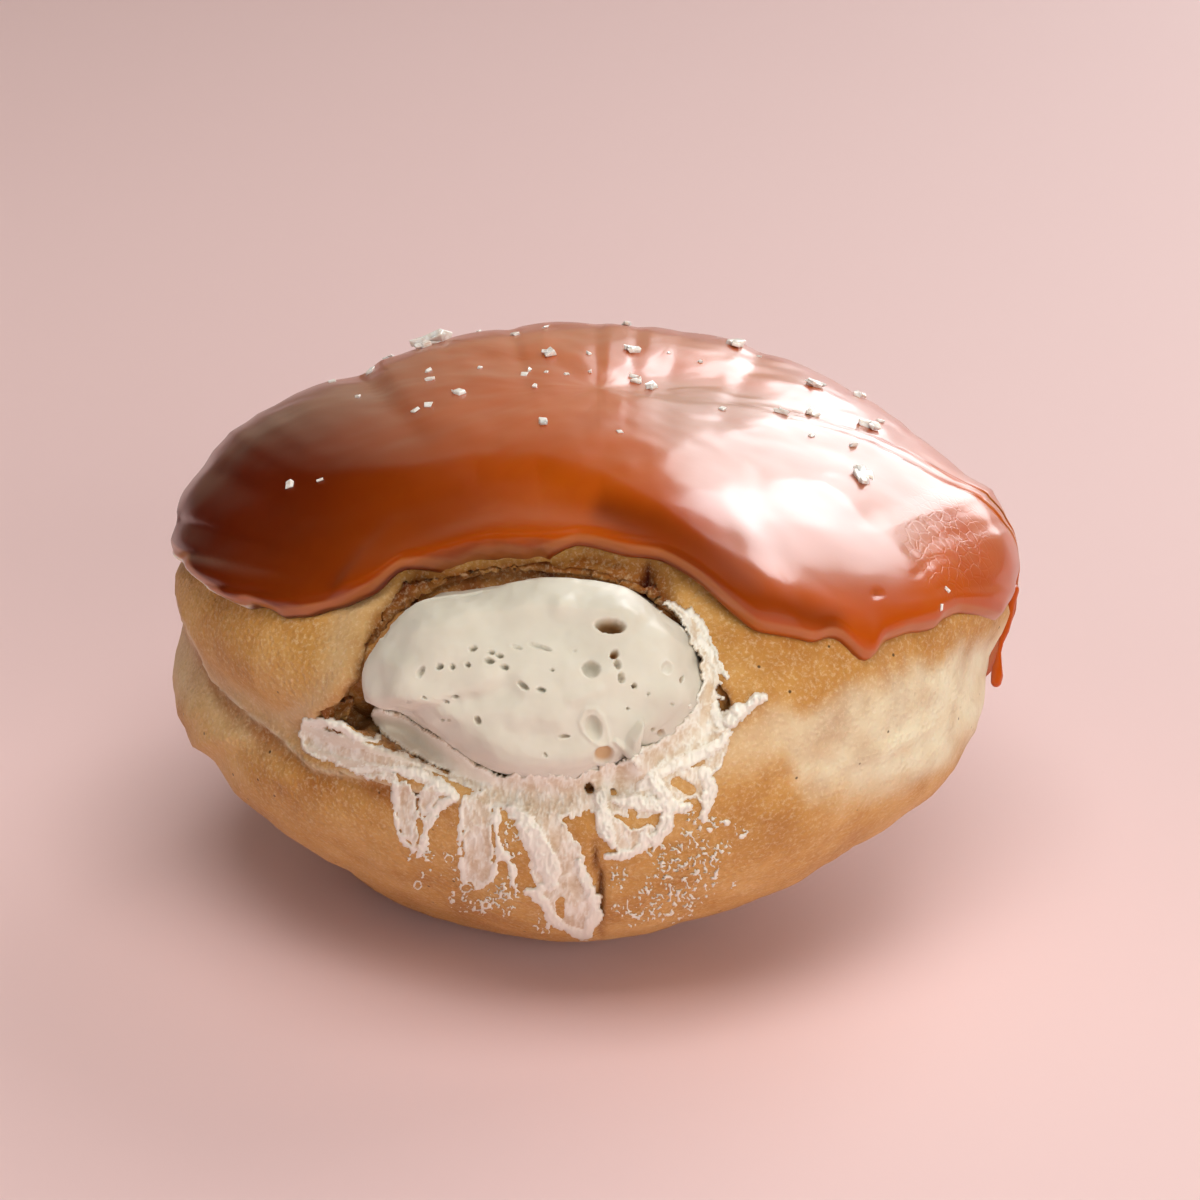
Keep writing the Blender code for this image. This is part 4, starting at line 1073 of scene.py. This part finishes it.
# smeared cream: thin films, torn edges and crumbs that the cream left on the dough
smearLook = {
    "step": 1.3,      # pixels between the points of the film
    "sunk": -0.3,     # mm, under the surface where no cream lies
    "patch": (298, 600, 768, 948),
    "drape": 140,     # rounds of averaging that let the film hang across hollows
    "longest": 2.6,   # mm: longer edges bridge a gap and are left out
    "ragged": ((16.0, 4.0, 41.0), (6.0, 2.6, 42.0), (2.5, 1.0, 43.0)),   # grain and reach in pixels, seed
    # thin film, through which the crust shows: points (u, v, radius)
    "films": (
        ((303, 735, 6), (318, 745, 13), (345, 752, 14), (380, 757, 13), (415, 770, 12), (445, 788, 7)),
        ((404, 788, 8), (408, 812, 12), (409, 832, 9), (417, 850, 3)),
        ((430, 790, 8), (424, 806, 9)),
        ((476, 803, 15), (478, 840, 17), (480, 872, 15), (478, 884, 8)),
        ((492, 793, 14), (540, 797, 22), (575, 798, 20)),
        ((540, 826, 24), (556, 860, 26), (564, 888, 26), (574, 914, 20)),
        ((596, 797, 16), (640, 798, 24), (690, 775, 22), (716, 742, 15)),
        ((610, 828, 14), (628, 844, 14), (650, 835, 12)),
        ((690, 775, 16), (706, 800, 8), (705, 816, 4)),
        ((722, 724, 13), (744, 709, 9), (762, 696, 3)),
        ((668, 603, 3), (684, 614, 6), (697, 632, 9), (706, 650, 9), (716, 666, 6), (726, 676, 3)),
        ((352, 768, 4), (372, 772, 8), (392, 776, 8)),
        ((452, 776, 6), (490, 786, 10), (540, 790, 11), (590, 788, 11), (640, 782, 11), (684, 762, 9),
         (706, 738, 7), (718, 708, 4)),
        ((703, 650, 5), (709, 668, 8), (712, 688, 11), (709, 708, 13), (699, 726, 13), (684, 740, 13),
         (660, 755, 12), (630, 769, 10), (590, 777, 7)),
    ),
    # smooth folded film: height in mm, thinness, then points
    "folds": (
        (0.45, 0.30, ((376, 716, 6), (398, 729, 12), (430, 748, 12), (462, 768, 10), (492, 781, 5))),
        (0.35, 0.45, ((304, 728, 4), (330, 738, 7), (360, 745, 6), (390, 754, 5), (420, 764, 4),
                      (448, 776, 3))),
        (0.30, 0.60, ((310, 748, 5), (345, 762, 6), (380, 768, 6))),
    ),
    # thick white crests: height in mm, then points
    "crests": (
        (0.45, ((306, 723, 1.5), (328, 723, 2.5), (344, 728, 3), (356, 738, 2.5), (376, 741, 1.5))),
        (0.40, ((352, 770, 1), (385, 768, 3), (420, 774, 4), (446, 788, 5), (456, 797, 2))),
        (0.50, ((452, 800, 2.5), (438, 808, 3), (430, 820, 2.5), (424, 836, 2.5), (419, 856, 1.5))),
        (0.35, ((396, 786, 1.5), (395, 815, 1.5), (400, 838, 2), (414, 850, 1.5))),
        (0.30, ((462, 808, 1.5), (460, 845, 1.5), (464, 882, 1.5))),
        (0.50, ((497, 808, 1.5), (496, 832, 2), (500, 852, 2.5), (508, 858, 2.5), (513, 870, 1.5),
                (513, 884, 1))),
        (0.40, ((500, 854, 2), (494, 868, 1.2), (491, 880, 1))),
        (0.80, ((512, 808, 5), (526, 824, 8), (538, 844, 10), (547, 864, 10), (551, 882, 6))),
        (0.60, ((548, 884, 3), (536, 893, 3.5), (528, 892, 2), (544, 903, 3), (552, 918, 3), (566, 928, 3),
                (584, 935, 3))),
        (0.80, ((577, 862, 2), (584, 880, 3.5), (593, 898, 4.5), (594, 916, 4), (588, 932, 3))),
        (0.95, ((601, 796, 4), (604, 816, 6), (608, 834, 5), (613, 846, 2))),
        (0.85, ((614, 800, 3), (636, 802, 5), (660, 806, 6), (686, 807, 4))),
        (0.90, ((654, 778, 3), (660, 790, 6), (668, 802, 6))),
        (0.80, ((668, 812, 5), (664, 828, 7), (656, 838, 5))),
        (0.60, ((646, 830, 2), (644, 846, 2.5), (632, 853, 2.5), (606, 857, 2))),
        (0.60, ((704, 772, 5), (709, 788, 6), (707, 802, 5), (704, 816, 3))),
        (0.50, ((640, 786, 4), (662, 772, 4), (684, 762, 5), (704, 752, 5), (722, 742, 4), (729, 732, 3))),
        (1.00, ((730, 722, 6), (738, 712, 7), (748, 706, 5), (764, 696, 1.5))),
        (0.45, ((714, 706, 2), (717, 716, 3), (722, 728, 4))),
        (0.40, ((690, 612, 1.5), (700, 620, 2), (706, 632, 1.5))),
               (0.35, ((700, 640, 1.5), (709, 652, 2), (712, 662, 1.2))),
    ),
    # holes torn in the film: points (u, v, radius)
    "holes": (
        ((586, 814, 3), (586, 830, 5), (588, 842, 3)), ((590, 787, 4), (590, 789, 4)),
              ((613, 791, 3), (614, 793, 3)),
        ((561, 900, 3), (560, 916, 4)), ((632, 807, 4), (633, 820, 4)), ((504, 868, 2), (502, 880, 3)),
        ((676, 782, 5), (690, 790, 5)), ((692, 764, 3), (702, 762, 3)),
              ((597, 850, 2.5), (600, 880, 3.5), (602, 930, 2.5)),
        ((512, 826, 3), (518, 850, 5)), ((455, 788, 3), (468, 792, 3)), ((722, 690, 5), (738, 694, 4)),
              ((719, 702, 3), (721, 706, 3)),
    ),
    # where crumbs are strewn: points (u, v, radius), share of the ground that they cover
    "fields": (
        (((656, 850, 10), (690, 872, 30), (672, 893, 28), (645, 905, 16)), 0.75),
        (((622, 880, 14), (626, 915, 12)), 0.40), (((462, 893, 16), (498, 900, 18), (516, 880, 8)), 0.50),
        (((428, 862, 20), (448, 860, 12)), 0.20), (((512, 830, 10), (517, 862, 10)), 0.50),
        (((430, 822, 8), (446, 818, 8)), 0.35), (((716, 830, 12), (742, 838, 8)), 0.35),
               (((545, 922, 10), (565, 930, 6)), 0.45),
        (((690, 822, 10), (700, 846, 12)), 0.45), (((718, 856, 16), (726, 880, 10)), 0.15),
    ),
    "crumb": (7.5, 0.19, 0.30),   # grain in pixels, how fine its threads are, height in mm
    # single crumbs and rings: u, v, radius in pixels, and 1 for a ring
    "bits": ((709, 830, 4.0, 0), (726, 823, 3.0, 0), (741, 837, 3.5, 0), (449, 859, 4.0, 1),
             (418, 885, 4.5, 1), (430, 870, 2.0, 0), (690, 706, 2.0, 0), (491, 572, 2.5, 0),
             (508, 580, 2.0, 0), (606, 577, 2.0, 0), (624, 581, 2.5, 0), (466, 888, 4.0, 1),
             (486, 905, 4.0, 1), (505, 896, 3.5, 1), (660, 612, 2.0, 0)),
    "backing": 0.4,
}

smear, tree, coords = newMaterial("smearedCream")
# the same cream wiped thin: white where it is thick, dull and browned where the crust shows through
film = add(tree, "Attribute", {"attribute_name": "thin"})
mottle = add(tree, "TexNoise", {"Scale": perMm(0.9), "Detail": 4.0, "Roughness": 0.7}, {"Vector": coords})
worn = add(tree, "Math", {"operation": "MULTIPLY_ADD", 1: 1.3, 2: 0.1}, {0: mottle.outputs["Fac"]})
share = add(tree, "Math", {"operation": "MULTIPLY", "use_clamp": True},
            {0: worn.outputs[0], 1: film.outputs["Fac"]})
filmMix = add(tree, "Mix", {"data_type": "RGBA", 6: "#f3efe7", 7: "#cdb393"}, {0: share.outputs[0]})
bumps = add(tree, "Bump", {"Strength": 0.3, "Distance": 0.06 * mm}, {"Height": mottle.outputs["Fac"]})
shader = add(tree, "BsdfPrincipled",
             {"Roughness": 0.38, "IOR": 1.45, "Subsurface Weight": 0.15,
              "Subsurface Radius": (1.0, 0.8, 0.6), "Subsurface Scale": 0.5 * mm},
             {"Base Color": filmMix.outputs[2], "Normal": bumps.outputs["Normal"]})
add(tree, "OutputMaterial", {}, {"Surface": shader.outputs[0]})

print("smeared cream")


def pixelNoise(u, v, across, along, seed, octaves=2):
    # noise drawn in the picture, its blobs this many pixels across and along the smears
    return np.array([noise.fractal(Vector((a / across, b / along, seed * 3.7)), 0.7, 2.0, octaves)
                     for a, b in zip(u, v)])


def laid(height, thinness, here, thin):
    # a layer counts where it stands above those before it
    return np.maximum(height, here), np.where(here > np.maximum(height, 0.0), thin, thinness)


left, top, right, bottom = smearLook["patch"]
across, down = int((right - left) / smearLook["step"]), int((bottom - top) / smearLook["step"])
bm = bmesh.new()
bmesh.ops.create_grid(bm, x_segments=across, y_segments=down, size=1.0)
corners = np.array([vert.co for vert in bm.verts])
u = left + (corners[:, 0] + 1.0) / 2.0 * (right - left)
v = bottom - (corners[:, 1] + 1.0) / 2.0 * (bottom - top)
column = np.round((u - left) / (right - left) * across).astype(int)
row = np.round((v - top) / (bottom - top) * down).astype(int)
away = np.full((down + 1, across + 1), 1.0)
for k in range(len(u)):
    for tree in (doughTree, liningTree, creamTree):
        place = surfaceAt(tree, u[k], v[k])[0]
        if place is not None:
            away[row[k], column[k]] = min(away[row[k], column[k]], (place - eye).length)
draped = away.copy()
for _ in range(smearLook["drape"]):
    around = np.pad(draped, 1, mode="edge")
    draped = np.minimum(draped, (around[:-2, 1:-1] + around[2:, 1:-1] + around[1:-1, :-2]
                                 + around[1:-1, 2:]) / 4.0)
missed = away[row, column] > 0.9
distance = draped[row, column]
sunk = smearLook["sunk"]
ragged = sum(reach * pixelNoise(u, v, size, size, seed) for size, reach, seed in smearLook["ragged"])
threads = 1.0 - np.abs(pixelNoise(u, v, 6.0, 16.0, 45.0, 3)) * 2.4
threads = np.clip(threads, 0.0, 1.0)
patches = pixelNoise(u, v, 12.0, 20.0, 46.0)
depth = np.max([strokeDepth(u, v, stroke) for stroke in smearLook["films"]], axis=0) + ragged
covered = smoothStep(-1.2, 1.2, depth)
rimmed = hill(depth - 2.2, 1.8) * smoothStep(-0.25, 0.15, patches)
height = sunk + covered * (0.36 + 0.22 * threads ** 4 + 0.28 * rimmed)
thinness = 0.75 - 0.7 * threads ** 2 - 0.9 * rimmed + 0.8 * patches
for tall, thin, stroke in smearLook["folds"]:
    depth = strokeDepth(u, v, stroke) + 0.4 * ragged
    here = sunk + (tall - sunk) * smoothStep(-3.0, 5.0, depth)
    height, thinness = laid(height, thinness, here, thin - 0.4 * hill(depth - 0.5, 1.5))
for hole in smearLook["holes"]:
    height -= 1.2 * smoothStep(-1.0, 2.0, strokeDepth(u, v, hole) + 0.5 * ragged)
for tall, stroke in smearLook["crests"]:
    depth = strokeDepth(u, v, stroke) + 0.75 * ragged + 1.2
    here = sunk + (tall * (0.7 + 0.5 * threads) - sunk) * smoothStep(-3.0, 2.4, depth)
    height, thinness = laid(height, thinness, here, 0.0)
grain, fine, tall = smearLook["crumb"]
lace = hill(pixelNoise(u, v, grain, grain, 51.0, 2), fine)
lace *= smoothStep(-0.25, 0.05, pixelNoise(u, v, 3.5, 3.5, 53.0))
clumps = pixelNoise(u, v, 13.0, 13.0, 52.0)
for field, cover in smearLook["fields"]:
    soft = smoothStep(-10.0, 8.0, strokeDepth(u, v, field))
    crumbed = smoothStep(0.12, 0.55, lace * soft) * smoothStep(0.35, 0.55, cover + 0.9 * clumps + 0.1)
    here = sunk + (tall - sunk) * crumbed
    height, thinness = laid(height, thinness, here, 0.15)
for bitU, bitV, radius, ring in smearLook["bits"]:
    gap = np.hypot(u - bitU, (v - bitV) * 1.15) + 0.5 * ragged
    gap = np.abs(gap - radius) - 1.0 if ring else gap - radius
    here = sunk + 0.55 * smoothStep(1.0, -1.2, gap)
    height, thinness = laid(height, thinness, here, 0.15)
height += np.where(height > -0.2, 0.05 * pixelNoise(u, v, 3.5, 6.0, 54.0), 0.0)
thinLayer = bm.verts.layers.float.new("thin")
bm.verts.index_update()
for vert in bm.verts:
    k = vert.index
    vert.co = eye + rayThrough(u[k], v[k]) * float(distance[k] - height[k] * mm)
    vert[thinLayer] = float(np.clip(thinness[k], 0.0, 1.0))
gone = []
for face in bm.faces:
    corners = [vert.index for vert in face.verts]
    if max(height[k] for k in corners) < -0.05 or any(missed[k] for k in corners):
        gone.append(face)
bmesh.ops.delete(bm, geom=gone, context="FACES")
longest = smearLook["longest"] * mm
torn = [face for face in bm.faces if max(edge.calc_length() for edge in face.edges) > longest]
bmesh.ops.delete(bm, geom=torn, context="FACES")
bmesh.ops.delete(bm, geom=[vert for vert in bm.verts if not vert.link_faces], context="VERTS")
if sum(face.normal.dot(viewAlong) for face in bm.faces) > 0.0:
    bmesh.ops.reverse_faces(bm, faces=bm.faces)
mesh = meshFrom(bm, "smearedCream")
mesh = thickened(placed("smearRough", mesh), smearLook["backing"])
addPiece("smearedCream", mesh, smear, "smeared_cream", "cream_smears")

# studio: pale floor, soft light from behind on the right, dim overhead
studio = {
    "floorColour": "#edced2",
    # panels: place and size in m, power in W, colour, and whether gloss or matt surfaces see them
    "sideSheen": ((0.120, 0.832, 0.323), (0.14, 0.36), 0.16, "#f6f9ff", "gloss"),
    "lowSheen": ((0.311, 0.750, 0.388), (0.38, 0.74), 3.4, "#f6f9ff", "gloss"),
    "highSheen": ((0.435, 0.425, 0.660), (0.60, 0.44), 6.6, "#f6f9ff", "gloss"),
    "keyPanel": ((0.50, 0.45, 0.62), (0.60, 0.60), 2.8, "#fffaf0", "matt"),
    "topPanel": ((0.05, -0.35, 0.92), (0.70, 0.50), 5.8, "#fffaf0", "matt"),
    "fillPanel": ((0.62, -1.00, 0.34), (1.10, 0.70), 8.4, "#fffbee", "matt"),
    "leftPanel": ((-0.90, -0.45, 0.30), (0.70, 0.60), 1.6, "#fffaf0", "matt"),
    "backGlow": "#efdabb", "frontGlow": "#2e2a29", "topGlow": "#141010", "strength": 0.75,
}
floorMaterial, tree, coords = newMaterial("paleFloor")
# matt painted board
tone = add(tree, "TexNoise", {"Scale": perMm(180.0), "Detail": 1.0}, {"Vector": coords})
paint = add(tree, "Mix", {"data_type": "RGBA", "blend_type": "SOFT_LIGHT", 0: 0.06,
                          6: studio["floorColour"]},
            {7: tone.outputs["Fac"]})
shader = add(tree, "BsdfPrincipled", {"Roughness": 0.7, "Specular IOR Level": 0.2},
             {"Base Color": paint.outputs[2]})
add(tree, "OutputMaterial", {}, {"Surface": shader.outputs[0]})
bm = bmesh.new()
bmesh.ops.create_grid(bm, x_segments=1, y_segments=1, size=2.5)
mesh = meshFrom(bm, "floor")
mesh.materials.append(floorMaterial)
floor = placed("floor", mesh)

for name in ("sideSheen", "lowSheen", "highSheen", "keyPanel", "topPanel", "fillPanel", "leftPanel"):
    place, size, power, colour, role = studio[name]
    lamp = bpy.data.lights.new(name, "AREA")
    lamp.shape = "RECTANGLE"
    lamp.size, lamp.size_y = size
    lamp.energy = power
    lamp.color = linear(colour)[:3]
    panel = placed(name, lamp)
    panel.location = place
    panel.rotation_euler = (core - Vector(place)).to_track_quat("-Z", "Y").to_euler()
    panel.visible_glossy = role == "gloss"
    panel.visible_diffuse = role == "matt"

world = bpy.data.worlds.new("tent")
bpy.context.scene.world = world
world.use_nodes = True
tree = world.node_tree
tree.nodes.clear()
coords = add(tree, "TexCoord")
parts = add(tree, "SeparateXYZ", {}, {0: coords.outputs["Generated"]})
behind = add(tree, "MapRange", {"From Min": 0.25, "From Max": 0.85, "interpolation_type": "SMOOTHSTEP"},
             {"Value": parts.outputs["Y"]})
above = add(tree, "MapRange", {"From Min": 0.62, "From Max": 0.86, "interpolation_type": "SMOOTHSTEP"},
            {"Value": parts.outputs["Z"]})
rightward = add(tree, "MapRange", {"From Min": -0.75, "From Max": 0.05, "interpolation_type": "SMOOTHSTEP"},
                {"Value": parts.outputs["X"]})
glow = add(tree, "Math", {"operation": "MULTIPLY"}, {0: behind.outputs[0], 1: rightward.outputs[0]})
ring = add(tree, "Mix", {"data_type": "RGBA", 6: studio["frontGlow"], 7: studio["backGlow"]},
           {0: glow.outputs[0]})
dome = add(tree, "Mix", {"data_type": "RGBA", 7: studio["topGlow"]},
           {0: above.outputs[0], 6: ring.outputs[2]})
background = add(tree, "Background", {"Strength": studio["strength"]}, {"Color": dome.outputs[2]})
add(tree, "OutputWorld", {}, {"Surface": background.outputs[0]})

lens = bpy.data.cameras.new("camera")
lens.sensor_width = 36.0
lens.lens = view["focal"] / view["frameSide"] * lens.sensor_width
lens.shift_x = (view["frameSide"] / 2.0 - view["middleU"]) / view["frameSide"]
lens.shift_y = (view["middleV"] - view["frameSide"] / 2.0) / view["frameSide"]
lens.clip_start, lens.clip_end = 0.01, 20.0
cameraObject = placed("camera", lens)
cameraObject.location = eye
cameraObject.rotation_euler = viewAlong.to_track_quat("-Z", "Y").to_euler()
bpy.context.scene.camera = cameraObject
bpy.context.scene.view_settings.view_transform = "Standard"

print("done")
